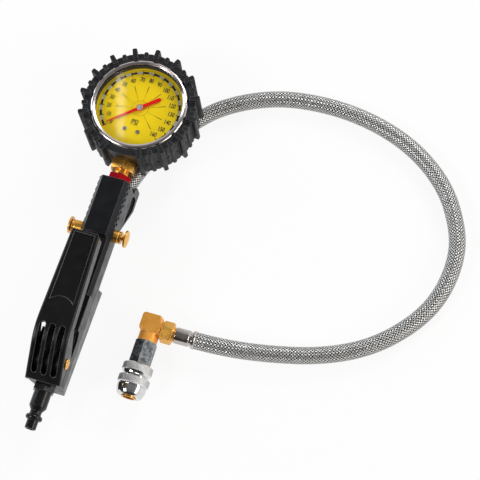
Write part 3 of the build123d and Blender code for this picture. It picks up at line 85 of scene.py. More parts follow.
# meshes from whole arrays
def meshFrom(name, points, quads, uv=None, smooth=True):
    # points is n by 3, quads m by 4; uv is one pair per face corner
    mesh = bpy.data.meshes.new(name)
    mesh.vertices.add(len(points))
    mesh.vertices.foreach_set("co", np.asarray(points, np.float32).ravel())
    mesh.loops.add(4 * len(quads))
    mesh.loops.foreach_set("vertex_index", np.asarray(quads, np.int32).ravel())
    mesh.polygons.add(len(quads))
    mesh.polygons.foreach_set("loop_start", np.arange(len(quads), dtype=np.int32) * 4)
    mesh.polygons.foreach_set("loop_total", np.full(len(quads), 4, np.int32))
    mesh.polygons.foreach_set("use_smooth", np.full(len(quads), smooth))
    if uv is not None:
        layer = mesh.uv_layers.new(name="surface")
        layer.data.foreach_set("uv", np.asarray(uv, np.float32).ravel())
    mesh.update(calc_edges=True)
    mesh.validate()
    piece = bpy.data.objects.new(name, mesh)
    bpy.context.scene.collection.objects.link(piece)
    return piece


def gridQuads(rows, columns, wrap):
    # face at row i and column j joins points (i, j), (i + 1, j), (i + 1, j + 1) and (i, j + 1); the columns
    # close round, and wrap joins the last row to the first
    i, j = np.meshgrid(np.arange(rows if wrap else rows - 1), np.arange(columns), indexing="ij")
    up, over = (i + 1) % rows, (j + 1) % columns
    corners = [i * columns + j, up * columns + j, up * columns + over, i * columns + over]
    return np.stack(corners, -1).reshape(-1, 4)


def gridUv(rows, columns, vSpan, uSpan, wrap):
    # u runs round the columns and v along the rows, both without a seam break at the last column
    i, j = np.meshgrid(np.arange(rows if wrap else rows - 1), np.arange(columns), indexing="ij")
    v0, v1 = i / (rows - 1) * vSpan, (i + 1) / (rows - 1) * vSpan
    u0, u1 = j / columns * uSpan, (j + 1) / columns * uSpan
    return np.stack([u0, v0, u0, v1, u1, v1, u1, v0], -1).reshape(-1, 2)


def closePoles(piece, columns, within=1e-7):
    # joins the first and the last ring of a tube, each drawn in to one point
    shape = bmesh.new()
    shape.from_mesh(piece.data)
    shape.verts.ensure_lookup_table()
    ends = shape.verts[:columns] + shape.verts[-columns:]
    bmesh.ops.remove_doubles(shape, verts=ends, dist=within)
    shape.to_mesh(piece.data)
    shape.free()


# materials
def newMaterial(name):
    material = bpy.data.materials.new(name)
    material.use_nodes = True
    tree = material.node_tree
    return material, tree, tree.nodes["Principled BSDF"]


def noiseOf(tree, scale, stretch=(1, 1, 1), detail=3.0):
    # noise on the piece's own coordinates, stretched along an axis where asked
    where = tree.nodes.new("ShaderNodeTexCoord")
    mapping = tree.nodes.new("ShaderNodeMapping")
    mapping.inputs["Scale"].default_value = stretch
    noise = tree.nodes.new("ShaderNodeTexNoise")
    noise.inputs["Scale"].default_value = scale
    noise.inputs["Detail"].default_value = detail
    tree.links.new(where.outputs["Object"], mapping.inputs["Vector"])
    tree.links.new(mapping.outputs["Vector"], noise.inputs["Vector"])
    return noise.outputs["Fac"]


def spread(tree, value, low, high, fromLow=0.35, fromHigh=0.65):
    # moves a value from one range to another; noise lies mostly between 0.35 and 0.65
    span = tree.nodes.new("ShaderNodeMapRange")
    span.inputs["From Min"].default_value = fromLow
    span.inputs["From Max"].default_value = fromHigh
    span.inputs["To Min"].default_value = low
    span.inputs["To Max"].default_value = high
    tree.links.new(value, span.inputs["Value"])
    return span.outputs["Result"]


def blendColour(tree, factor, first, second):
    # first where the factor is zero, second where it is one; each is a colour or another node's result
    mix = tree.nodes.new("ShaderNodeMix")
    mix.data_type = "RGBA"
    tree.links.new(factor, mix.inputs["Factor"])
    for socket, colour in ((mix.inputs["A"], first), (mix.inputs["B"], second)):
        if isinstance(colour, tuple):
            socket.default_value = (*colour, 1.0)
        else:
            tree.links.new(colour, socket)
    return mix.outputs["Result"]


# dot product of the rounded and the flat surface's directions where the painted edge highlight begins and
# where it is full
edgeHighlightSet = {"samples": 6, "begins": 0.995, "full": 0.90}


def edgeHighlightMask(tree, radius):
    # one where a rounded copy of the surface turns away from it, that is along edges, where the painted
    # highlight goes
    bevel = tree.nodes.new("ShaderNodeBevel")
    bevel.samples = edgeHighlightSet["samples"]
    bevel.inputs["Radius"].default_value = radius
    geometry = tree.nodes.new("ShaderNodeNewGeometry")
    dot = tree.nodes.new("ShaderNodeVectorMath")
    dot.operation = "DOT_PRODUCT"
    tree.links.new(bevel.outputs["Normal"], dot.inputs[0])
    tree.links.new(geometry.outputs["Normal"], dot.inputs[1])
    highlightMask = spread(tree, dot.outputs["Value"], 0.0, 1.0, edgeHighlightSet["begins"], edgeHighlightSet["full"])
    return highlightMask, bevel.outputs["Normal"]


# what a finish has where its own settings don't say otherwise
plainFinish = {
    "metallic": 0.0, "specular": 0.5, "toneScale": 60, "toneStretch": (1, 1, 1), "roughScale": 150,
    "bump": 0.2, "bumpDepth": 0.00005, "grainScale": 2500, "grainStretch": (1, 1, 1), "grainDetail": 4.0,
    "edge": None,
}


def finish(name, settings):
    # a painted, plated or turned surface: two tones by noise, varied roughness, fine bump and a painted
    # highlight along the edges
    settings = {**plainFinish, **settings}
    material, tree, shader = newMaterial(name)
    tone = noiseOf(tree, settings["toneScale"], settings["toneStretch"])
    colour = blendColour(tree, spread(tree, tone, 0, 1), settings["colour"], settings["second"])
    normal = None
    # the edge colour is a painted highlight, blended in along the edges
    if settings["edge"]:
        highlightMask, normal = edgeHighlightMask(tree, settings["edge"]["radius"])
        colour = blendColour(tree, highlightMask, colour, settings["edge"]["colour"])
    tree.links.new(colour, shader.inputs["Base Color"])
    shader.inputs["Metallic"].default_value = settings["metallic"]
    rough = noiseOf(tree, settings["roughScale"])
    tree.links.new(spread(tree, rough, *settings["roughness"]), shader.inputs["Roughness"])
    shader.inputs["Specular IOR Level"].default_value = settings["specular"]
    bump = tree.nodes.new("ShaderNodeBump")
    bump.inputs["Strength"].default_value = settings["bump"]
    bump.inputs["Distance"].default_value = settings["bumpDepth"]
    grain = noiseOf(tree, settings["grainScale"], settings["grainStretch"], settings["grainDetail"])
    tree.links.new(grain, bump.inputs["Height"])
    if normal is not None:
        tree.links.new(normal, bump.inputs["Normal"])
    tree.links.new(bump.outputs["Normal"], shader.inputs["Normal"])
    return material


def dress(material, *names):
    # one material on each named solid
    for name in names:
        slots = cadNodes[name].data.materials
        slots.clear()
        slots.append(material)


# a pattern squeezed along an axis rings a piece that is turned about that axis
alongX = (60, 1, 1)
alongY = (1, 60, 1)
alongZ = (1, 1, 60)

# in each finish the edge colour is a painted highlight along the piece's edges
bodyFinish = {
    "colour": (0.0045, 0.0048, 0.006), "second": (0.007, 0.0075, 0.010), "toneScale": 25,
    "roughness": (0.28, 0.40), "specular": 0.26, "bump": 0.25, "grainScale": 1800,
    "edge": {"radius": 0.0005, "colour": (0.11, 0.12, 0.135)},
}
leverFinish = {
    "colour": (0.0035, 0.0035, 0.004), "second": (0.006, 0.006, 0.006), "toneScale": 30,
    "roughness": (0.24, 0.34), "specular": 0.28, "bump": 0.3, "grainScale": 1500,
    "edge": {"radius": 0.0005, "colour": (0.17, 0.17, 0.17)},
}
brassFinish = {
    "colour": (0.88, 0.48, 0.10), "second": (0.76, 0.38, 0.06), "metallic": 0.85,
    "roughness": (0.22, 0.36), "bump": 0.15, "grainScale": 300,
    "edge": {"radius": 0.00025, "colour": (0.95, 0.66, 0.28)},
}
sawnFinish = {
    **brassFinish, "colour": (0.90, 0.42, 0.07), "second": (0.78, 0.34, 0.05), "metallic": 0.5,
    "roughness": (0.36, 0.50), "toneScale": 300, "toneStretch": (1, 6, 1),
    "bump": 0.6, "grainScale": 500, "grainStretch": (1, 8, 1),
}
redFinish = {
    "colour": (0.36, 0.001, 0.006), "second": (0.27, 0.001, 0.004), "metallic": 0.75,
    "roughness": (0.28, 0.38), "specular": 0.2, "bump": 0.15, "grainScale": 1200,
    "edge": {"radius": 0.0003, "colour": (0.70, 0.04, 0.04)},
}
plugFinish = {
    "colour": (0.004, 0.004, 0.005), "second": (0.008, 0.008, 0.009), "roughness": (0.14, 0.24),
    "specular": 0.35, "bump": 0.12, "grainScale": 400, "grainStretch": alongY,
    "edge": {"radius": 0.0003, "colour": (0.05, 0.05, 0.055)},
}
rubberFinish = {
    "colour": (0.007, 0.0075, 0.009), "second": (0.012, 0.0125, 0.014), "toneScale": 120,
    "roughness": (0.42, 0.58), "specular": 0.30, "bump": 0.5, "bumpDepth": 0.00012, "grainScale": 900,
    "edge": {"radius": 0.0006, "colour": (0.10, 0.105, 0.115)},
}
bezelFinish = {
    "colour": (0.66, 0.60, 0.59), "second": (0.58, 0.52, 0.51), "metallic": 1.0,
    "roughness": (0.14, 0.20), "bump": 0.02, "grainScale": 800,
}
caseFinish = {
    "colour": (0.004, 0.004, 0.004), "second": (0.007, 0.007, 0.007), "roughness": (0.4, 0.5), "bump": 0.1,
}
dialFinish = {
    "colour": (0.84, 0.60, 0.002), "second": (0.88, 0.64, 0.004), "toneScale": 40, "roughness": (0.4, 0.5),
    "specular": 0.05, "bump": 0.03,
}
pointerFinish = {
    "colour": (0.76, 0.008, 0.002), "second": (0.70, 0.006, 0.002), "roughness": (0.35, 0.45),
    "specular": 0.05, "bump": 0.03,
}
steelFinish = {
    "colour": (0.40, 0.38, 0.36), "second": (0.30, 0.28, 0.26), "metallic": 1.0, "roughness": (0.25, 0.4),
    "bump": 0.1, "edge": {"radius": 0.0002, "colour": (0.7, 0.7, 0.7)},
}
ferruleFinish = {
    "colour": (0.54, 0.50, 0.48), "second": (0.46, 0.42, 0.40), "metallic": 1.0,
    "roughness": (0.10, 0.18), "bump": 0.06, "grainScale": 300, "grainStretch": alongX,
    "edge": {"radius": 0.0003, "colour": (0.9, 0.9, 0.9)},
}
zincFinish = {
    "colour": (0.25, 0.275, 0.30), "second": (0.07, 0.075, 0.08), "metallic": 0.9, "toneScale": 450,
    "roughness": (0.30, 0.5), "bump": 0.7, "bumpDepth": 0.00015, "grainScale": 1200,
    "edge": {"radius": 0.0003, "colour": (0.8, 0.8, 0.8)},
}
dress(finish("bodyBlack", bodyFinish), "valve_body")
dress(finish("leverBlack", leverFinish), "lever")
dress(finish("turnedBrassY", {**brassFinish, "grainStretch": alongY}),
      "gauge_socket", "chuck_core", "core_pin")
dress(finish("turnedBrassX", {**brassFinish, "grainStretch": alongX}), "lever_pin", "selector_spool",
      "selector_knob", "selector_gland_left", "selector_gland_right", "hose_end_hex")
dress(finish("turnedBrassZ", {**brassFinish, "grainStretch": alongZ}),
      "valve_gland", "valve_stem", "pinion_shaft")
dress(finish("sawnBrass", sawnFinish), "elbow_fitting", "hose_nipple", "movement_base", "movement_top",
      "sector_gear", "drive_link", "bourdon_tube", "tube_tip")
dress(finish("redAnodised", redFinish), "gauge_bushing")
dress(finish("blackOxide", plugFinish), "inlet_plug")
dress(finish("bootRubber", rubberFinish), "tread_boot", "lens_gasket", "valve_seal", "selector_seals",
      "chuck_seal")
dress(finish("bezelChrome", bezelFinish), "gauge_bezel")
dress(finish("caseBlack", caseFinish), "gauge_case")
dress(finish("dialYellow", dialFinish), "gauge_dial")
dress(finish("pointerRed", pointerFinish), "gauge_pointer")


hubFinish = {
    "centre": (0.0, 241.5), "radius": 2.2, "softness": 0.1, "toneScale": 900, "metallic": 0.8,
    "roughness": 0.4, "colour": (0.62, 0.60, 0.57), "second": (0.44, 0.43, 0.41),
    "paint": (0.70, 0.008, 0.002),
}


def hubMaterial(name, settings):
    # spun aluminium in the middle, with the pointer's red paint round it
    material, tree, shader = newMaterial(name)
    where = tree.nodes.new("ShaderNodeTexCoord")
    away = tree.nodes.new("ShaderNodeVectorMath")
    away.operation = "SUBTRACT"
    tree.links.new(where.outputs["Object"], away.inputs[0])
    away.inputs[1].default_value = placeMm(*settings["centre"], 0.0)
    flat = tree.nodes.new("ShaderNodeVectorMath")
    flat.operation = "MULTIPLY"
    flat.inputs[1].default_value = (1.0, 1.0, 0.0)
    tree.links.new(away.outputs[0], flat.inputs[0])
    reach = tree.nodes.new("ShaderNodeVectorMath")
    reach.operation = "LENGTH"
    tree.links.new(flat.outputs[0], reach.inputs[0])
    edge, soft = settings["radius"] * mm, settings["softness"] * mm
    painted = spread(tree, reach.outputs["Value"], 0.0, 1.0, edge - soft, edge + soft)
    tone = spread(tree, noiseOf(tree, settings["toneScale"]), 0, 1)
    metal = blendColour(tree, tone, settings["colour"], settings["second"])
    tree.links.new(blendColour(tree, painted, metal, settings["paint"]), shader.inputs["Base Color"])
    tree.links.new(spread(tree, painted, settings["metallic"], 0.0, 0.0, 1.0), shader.inputs["Metallic"])
    shader.inputs["Roughness"].default_value = settings["roughness"]
    return material


dress(hubMaterial("spunHub", hubFinish), "pointer_cap")
dress(finish("brightSteel", steelFinish), "dial_screws", "movement_screws", "chuck_balls", "valve_spring",
      "chuck_spring", "hair_spring")
dress(finish("ferruleSteel", ferruleFinish), "hose_ferrule")
dress(finish("zincPlate", zincFinish), "chuck_stem")


lensFinish = {
    "colour": (1.0, 1.0, 1.0), "second": (0.94, 0.96, 0.96), "toneScale": 20, "metallic": 1.0,
    "roughness": 0.04, "opacity": 0.025,
}


def lensMaterial(name, settings):
    # clear plastic: nearly all see-through, with a faint mirror on its face
    material, tree, shader = newMaterial(name)
    tone = spread(tree, noiseOf(tree, settings["toneScale"]), 0, 1)
    colour = blendColour(tree, tone, settings["colour"], settings["second"])
    tree.links.new(colour, shader.inputs["Base Color"])
    shader.inputs["Metallic"].default_value = settings["metallic"]
    shader.inputs["Roughness"].default_value = settings["roughness"]
    shader.inputs["Alpha"].default_value = settings["opacity"]
    return material


dress(lensMaterial("clearLens", lensFinish), "gauge_lens")
print("CAD pieces dressed")


# hose: the route's control points, the same places as the solid's
hoseSet = {
    "radius": 6.0, "carriers": 16, "crossing": 2.4, "weaveDepth": 0.22, "weaveRound": 0.6,
    "weaveSharp": 4, "rings": 1190, "round": 80, "lineSteps": 24, "lineOrder": 3, "length": 0.553,
    "portAngle": 12.0, "portMouth": (3.3, 192.0, -16.6), "portDepth": 14.0, "nipple": 4.0, "lead": 22.5,
    "route": [(38.0, 261.0, 6.05), (67.0, 281.0, 6.05), (101.0, 292.0, 6.05), (147.0, 292.0, 6.05),
              (190.0, 279.0, 6.05), (223.0, 254.0, 6.05), (241.0, 222.0, 6.05), (245.0, 197.0, 6.05),
              (240.0, 168.0, 6.05), (226.0, 144.0, 6.05), (202.0, 121.0, 6.05), (170.0, 106.0, 6.05),
              (134.0, 97.5, 7.5), (104.0, 92.8, 11.1), (87.0, 92.8, 11.1)],
}


def hoseControl(settings):
    # straight out of the port at its angle, then through the route's places
    mouth = np.array(placeMm(*settings["portMouth"]))
    turn = math.radians(settings["portAngle"])
    outward = np.array((math.sin(turn), math.cos(turn), 0.0))
    start = mouth - outward * (settings["portDepth"] - settings["nipple"]) * mm
    lead = mouth + outward * settings["lead"] * mm
    route = [placeMm(x, station, z - axisHeight) for x, station, z in settings["route"]]
    return [start, lead, *map(np.array, route)]


def splineLine(name, control, settings):
    # one smooth line drawn along its control points, read back as points
    curve = bpy.data.curves.new(name, "CURVE")
    curve.dimensions = "3D"
    curve.resolution_u = settings["lineSteps"]
    spline = curve.splines.new("NURBS")
    spline.points.add(len(control) - 1)
    weighted = np.hstack([np.array(control), np.ones((len(control), 1))])
    spline.points.foreach_set("co", weighted.ravel())
    spline.order_u = settings["lineOrder"]
    spline.use_endpoint_u = True
    carrier = bpy.data.objects.new(name, curve)
    bpy.context.scene.collection.objects.link(carrier)
    bpy.context.view_layer.update()
    drawn = carrier.evaluated_get(bpy.context.evaluated_depsgraph_get())
    line = bpy.data.meshes.new_from_object(drawn)
    points = np.empty(len(line.vertices) * 3)
    line.vertices.foreach_get("co", points)
    bpy.data.objects.remove(carrier)
    return points.reshape(-1, 3)


def evenLine(points, count):
    # the same line with evenly spaced points
    steps = np.r_[0, np.cumsum(np.linalg.norm(np.diff(points, axis=0), axis=1))]
    at = np.linspace(0, steps[-1], count)
    return np.stack([np.interp(at, steps, points[:, k]) for k in range(3)], -1), steps[-1]


def lineFrames(points):
    # two directions square to the line at each point: one level with the ground, and one square to both
    tangent = np.gradient(points, axis=0)
    tangent /= np.linalg.norm(tangent, axis=1)[:, None]
    side = np.cross(tangent, np.array((0.0, 0.0, 1.0)))
    side /= np.linalg.norm(side, axis=1)[:, None]
    return side, np.cross(side, tangent)


def wovenHose(name, control, settings):
    # a tube whose radius follows two sets of crossing bands: with u counted in bands and v in crossings, band
    # one is the sine of pi (u + v) and band two the sine of pi (u - v); their product says which lies on top
    line, length = evenLine(splineLine("hoseLine", control, settings), settings["rings"])
    side, up = lineFrames(line)
    v = np.linspace(0, length / mm / settings["crossing"], settings["rings"])[:, None]
    turn = np.linspace(0, 2 * np.pi, settings["round"], endpoint=False)[None, :]
    u = settings["carriers"] * turn / (2 * np.pi)
    first, second = np.sin(np.pi * (u + v)), np.sin(np.pi * (u - v))
    over = 0.5 + 0.5 * np.tanh(settings["weaveSharp"] * first * second)
    bow = settings["weaveRound"]
    height = over * np.abs(first) ** bow + (1 - over) * np.abs(second) ** bow - 1.0
    radius = (settings["radius"] + settings["weaveDepth"] * height) * mm
    pole = np.zeros((1, settings["round"]))
    radius = np.vstack([pole, radius, pole])
    middle, side, up = (np.vstack([a[:1], a, a[-1:]])[:, None, :] for a in (line, side, up))
    outward = np.cos(turn)[..., None] * side + np.sin(turn)[..., None] * up
    points = middle + radius[..., None] * outward
    rows, columns = points.shape[:2]
    quads = gridQuads(rows, columns, False)
    uv = gridUv(rows, columns, v[-1, 0], settings["carriers"], False)
    piece = meshFrom(name, points.reshape(-1, 3), quads, uv)
    closePoles(piece, columns)
    return piece, line, length


hosePiece, hoseLine, hoseLength = wovenHose("braided_hose", hoseControl(hoseSet), hoseSet)
print("hose woven, length", round(hoseLength, 4))

# each span says where a painted shade begins and where it is full
braidFinish = {
    "wire": (0.66, 0.66, 0.65), "gap": (0.008, 0.008, 0.008), "wires": 5, "metallic": 0.85,
    "roughness": (0.24, 0.40), "roughScale": 900, "overSpan": (-0.08, 0.08), "holeSpan": (0.60, 0.86),
    "bandShade": 0.10, "bandSpan": (0.30, 0.75), "wireShade": 0.75, "wireSpan": (0.0, 0.5),
    "bump": 0.8, "bumpDepth": 0.00035, "wireRise": 0.12,
}


def calc(tree, operation, first, second=None):
    # one sum on one or two values, each a number or another node's result
    node = tree.nodes.new("ShaderNodeMath")
    node.operation = operation
    for socket, value in zip(node.inputs, (first, second)):
        if isinstance(value, (int, float)):
            socket.default_value = value
        elif value is not None:
            tree.links.new(value, socket)
    return node.outputs[0]


def braidMaterial(settings):
    # the same two sets of bands as in the mesh, from its map; painted shade darkens the gaps between bands,
    # the grooves between wires and, darkest, the holes where gaps cross
    material, tree, shader = newMaterial("steelBraid")
    where = tree.nodes.new("ShaderNodeTexCoord")
    parts = tree.nodes.new("ShaderNodeSeparateXYZ")
    tree.links.new(where.outputs["UV"], parts.inputs[0])
    rising = calc(tree, "MULTIPLY", calc(tree, "ADD", parts.outputs[0], parts.outputs[1]), math.pi)
    falling = calc(tree, "MULTIPLY", calc(tree, "SUBTRACT", parts.outputs[0], parts.outputs[1]), math.pi)
    first, second = calc(tree, "SINE", rising), calc(tree, "SINE", falling)
    over = spread(tree, calc(tree, "MULTIPLY", first, second), 0.0, 1.0, *settings["overSpan"])
    under = calc(tree, "SUBTRACT", 1.0, over)

    # thin wires side by side along one band
    def wires(angle):
        return calc(tree, "ABSOLUTE", calc(tree, "SINE", calc(tree, "MULTIPLY", angle, settings["wires"])))

    # the value of whichever band lies on top
    def onTop(one, other):
        return calc(tree, "ADD", calc(tree, "MULTIPLY", over, one), calc(tree, "MULTIPLY", under, other))

    bandFirst, bandSecond = calc(tree, "ABSOLUTE", first), calc(tree, "ABSOLUTE", second)
    band = onTop(bandFirst, bandSecond)
    wire = onTop(wires(rising), wires(falling))
    hole = calc(tree, "MAXIMUM", bandFirst, bandSecond)
    openPart = spread(tree, hole, 0.0, 1.0, *settings["holeSpan"])
    bandPart = spread(tree, band, settings["bandShade"], 1.0, *settings["bandSpan"])
    wirePart = spread(tree, wire, settings["wireShade"], 1.0, *settings["wireSpan"])
    # painted shade: darkest in the holes, dark at the band edges and a little between the wires
    lit = calc(tree, "MULTIPLY", calc(tree, "MULTIPLY", openPart, bandPart), wirePart)
    tree.links.new(blendColour(tree, lit, settings["gap"], settings["wire"]), shader.inputs["Base Color"])
    shader.inputs["Metallic"].default_value = settings["metallic"]
    rough = noiseOf(tree, settings["roughScale"])
    tree.links.new(spread(tree, rough, *settings["roughness"]), shader.inputs["Roughness"])
    bump = tree.nodes.new("ShaderNodeBump")
    bump.inputs["Strength"].default_value = settings["bump"]
    bump.inputs["Distance"].default_value = settings["bumpDepth"]
    wireRise = calc(tree, "MULTIPLY", wire, settings["wireRise"])
    rise = calc(tree, "ADD", calc(tree, "MULTIPLY", band, openPart), wireRise)
    tree.links.new(rise, bump.inputs["Height"])
    tree.links.new(bump.outputs["Normal"], shader.inputs["Normal"])
    return material


hosePiece.data.materials.append(braidMaterial(braidFinish))
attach(hosePiece, "handle")
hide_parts("hose")


# printing on the dial: millimetres from its hub, and angles in degrees from the right, turned a little
dialSet = {
    "hub": (0.0, 241.5), "top": 11.2, "turn": -2.9, "zero": 225.0, "sweep": 270.0, "marks": 16,
    "lift": 0.002, "thickness": 0.03, "barInner": 27.75, "barOuter": 29.45, "greyInset": 0.1,
    "tickInner": 26.4, "tickOuter": 30.0, "tickWidth": 0.55,
    "ringRadii": (30.3, 27.8), "ringWidth": 0.16, "ringFrom": -45.0, "ringTo": 225.0,
    "spokeInner": 6.0, "spokeMiddle": 13.0, "spokeOuter": 18.4, "spokeThin": 0.16, "spokeThick": 0.42,
    "hubRing": 6.0, "hubRingWidth": 0.18, "barSteps": 6, "spokeSteps": 3, "ringSteps": 96,
    "numberRadius": 23.0, "numberSize": 4.8, "wordSqueeze": 0.70, "wordBold": 0.13, "wordSteps": 3,
    "word": "PSI", "wordPlace": (0.1, -11.6), "wordSize": 6.2,
}
inkSet = {
    "black": (0.012, 0.011, 0.008), "grey": (0.50, 0.50, 0.46), "line": (0.10, 0.08, 0.01),
    "darker": 0.8, "toneScale": 400, "roughness": 0.4, "specular": 0.3,
}


def dialPoint(radius, angle, height, settings):
    # place at a radius and an angle from the hub, turned with the printing, at a height over the dial
    a = np.radians(angle + settings["turn"])
    x, y, z = placeMm(*settings["hub"], settings["top"] + height)
    return np.stack(np.broadcast_arrays(x + radius * np.cos(a) * mm, y + radius * np.sin(a) * mm, z), -1)


def printedArcs(name, arcs, settings, steps):
    # printed bands: a rectangle between two radii and two heights, carried evenly from one angle to another
    shapes, faces, base = [], [], 0
    low, high = settings["lift"], settings["thickness"]
    t = np.linspace(0, 1, steps)
    for inner, outer, start, end in arcs:
        angle = start + (end - start) * t
        section = ((inner, low), (inner, high), (outer, high), (outer, low))
        loop = np.stack([dialPoint(radius, angle, height, settings) for radius, height in section], 1)
        ends = np.array([[0, 1, 2, 3], [4 * steps - 1, 4 * steps - 2, 4 * steps - 3, 4 * steps - 4]])
        shapes.append(loop.reshape(-1, 3))
        faces.append(np.vstack([gridQuads(steps, 4, False)[:, ::-1], ends]) + base)
        base += 4 * steps
    return meshFrom(name, np.vstack(shapes), np.vstack(faces), smooth=False)


def radialMarks(inner, outer, width, angles):
    # marks along a radius as narrow bands: half the angle is half the width over the middle radius
    half = math.degrees(width / (inner + outer))
    return [(inner, outer, angle - half, angle + half) for angle in angles]


def printedWords(name, words, settings):
    # numbers and the unit as thin raised letters, narrowed across, turned with the dial, in one mesh
    shapes, faces, base = [], [], 0
    for text, x, y, size in words:
        curve = bpy.data.curves.new("printedText", "FONT")
        curve.body = text
        curve.size = size * mm
        curve.align_x = "CENTER"
        curve.align_y = "CENTER"
        curve.extrude = settings["thickness"] * 0.5 * mm
        curve.offset = settings["wordBold"] * mm
        curve.resolution_u = settings["wordSteps"]
        carrier = bpy.data.objects.new("printedText", curve)
        bpy.context.scene.collection.objects.link(carrier)
        bpy.context.view_layer.update()
        drawn = carrier.evaluated_get(bpy.context.evaluated_depsgraph_get())
        letters = bpy.data.meshes.new_from_object(drawn)
        points = np.empty(len(letters.vertices) * 3)
        letters.vertices.foreach_get("co", points)
        points = points.reshape(-1, 3)
        points[:, 0] *= settings["wordSqueeze"]
        a = math.radians(settings["turn"])
        turned = np.stack([points[:, 0] * math.cos(a) - points[:, 1] * math.sin(a),
                           points[:, 0] * math.sin(a) + points[:, 1] * math.cos(a), points[:, 2]], -1)
        height = settings["thickness"] * 0.5 + settings["lift"]
        shapes.append(turned + dialPoint(math.hypot(x, y), math.degrees(math.atan2(y, x)), height, settings))
        faces += [[base + index for index in face.vertices] for face in letters.polygons]
        base += len(points)
        bpy.data.objects.remove(carrier)
    mesh = bpy.data.meshes.new(name)
    mesh.from_pydata(np.vstack(shapes).tolist(), [], faces)
    piece = bpy.data.objects.new(name, mesh)
    bpy.context.scene.collection.objects.link(piece)
    return piece


def printInk(name, colour, settings):
    # flat ink with a slightly uneven tone
    material, tree, shader = newMaterial(name)
    tone = spread(tree, noiseOf(tree, settings["toneScale"]), 0, 1)
    darker = tuple(settings["darker"] * c for c in colour)
    tree.links.new(blendColour(tree, tone, colour, darker), shader.inputs["Base Color"])
    shader.inputs["Roughness"].default_value = settings["roughness"]
    shader.inputs["Specular IOR Level"].default_value = settings["specular"]
    return material


def dressPrint(piece, material):
    # the printing belongs to the handle's body, with the dial
    piece.data.materials.append(material)
    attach(piece, "handle")


def printDial(settings):
    # dark and grey half steps with a tick and a number at each step, and spokes at every second step
    step = settings["sweep"] / settings["marks"]
    angles = [settings["zero"] - step * index for index in range(settings["marks"] + 1)]
    inner, outer, inset = settings["barInner"], settings["barOuter"], settings["greyInset"]
    darkBars = [(inner, outer, a - step / 2, a) for a in angles[:-1]]
    greyBars = [(inner + inset, outer - inset, a - step, a - step / 2) for a in angles[:-1]]
    ticks = radialMarks(settings["tickInner"], settings["tickOuter"], settings["tickWidth"], angles)
    middle = settings["spokeMiddle"]
    thinSpokes = radialMarks(settings["spokeInner"], middle, settings["spokeThin"], angles[::2])
    thickSpokes = radialMarks(middle, settings["spokeOuter"], settings["spokeThick"], angles[::2])
    half = settings["ringWidth"] / 2
    rings = [(r - half, r + half, settings["ringFrom"], settings["ringTo"]) for r in settings["ringRadii"]]
    half = settings["hubRingWidth"] / 2
    hubRing = [(settings["hubRing"] - half, settings["hubRing"] + half, -180.0, 180.0)]
    reach, size = settings["numberRadius"], settings["numberSize"]
    words = [(str(10 * index), reach * math.cos(math.radians(a)), reach * math.sin(math.radians(a)), size)
             for index, a in enumerate(angles)]
    words.append((settings["word"], *settings["wordPlace"], settings["wordSize"]))
    blackInk = printInk("dialBlackInk", inkSet["black"], inkSet)
    greyInk = printInk("dialGreyInk", inkSet["grey"], inkSet)
    lineInk = printInk("dialLineInk", inkSet["line"], inkSet)
    barSteps = settings["barSteps"]
    darkMarks = darkBars + ticks + thickSpokes
    dressPrint(printedArcs("dial_dark_marks", darkMarks, settings, barSteps), blackInk)
    dressPrint(printedArcs("dial_grey_bars", greyBars, settings, barSteps), greyInk)
    dressPrint(printedArcs("dial_thin_rings", rings + hubRing, settings, settings["ringSteps"]), lineInk)
    dressPrint(printedArcs("dial_thin_spokes", thinSpokes, settings, settings["spokeSteps"]), blackInk)
    dressPrint(printedWords("dial_numbers", words, settings), blackInk)


printDial(dialSet)
print("dial printed")


# chuck's sleeve: two knurled bands, a groove, a polished nose and an open mouth
sleeveSet = {
    "centre": (54.3, -12.9), "columns": 360, "teeth": 90, "depth": 0.16, "pitch": 0.75, "bandRings": 44,
    "fade": 12, "level": 0.6, "bow": 0.25, "sharpFrom": 28,
    # radius, station and pieces up to the next point; 0 is a grip band
    "profile": [
        (6.15, 43.7, 1), (6.15, 53.0, 1), (8.6, 53.0, 1), (8.6, 65.0, 1), (10.1, 65.0, 1), (10.6, 64.5, 0),
        (10.6, 59.6, 1), (10.1, 59.1, 1), (9.5, 57.6, 1), (10.5, 56.1, 1), (11.0, 55.6, 0),
        (11.0, 50.8, 1), (10.5, 50.3, 1), (9.9, 49.95, 1), (9.9, 49.6, 1), (10.4, 49.1, 6),
        (9.1, 43.3, 1), (8.1, 42.2, 1), (5.3, 42.2, 1), (5.3, 43.7, 1),
    ],
}


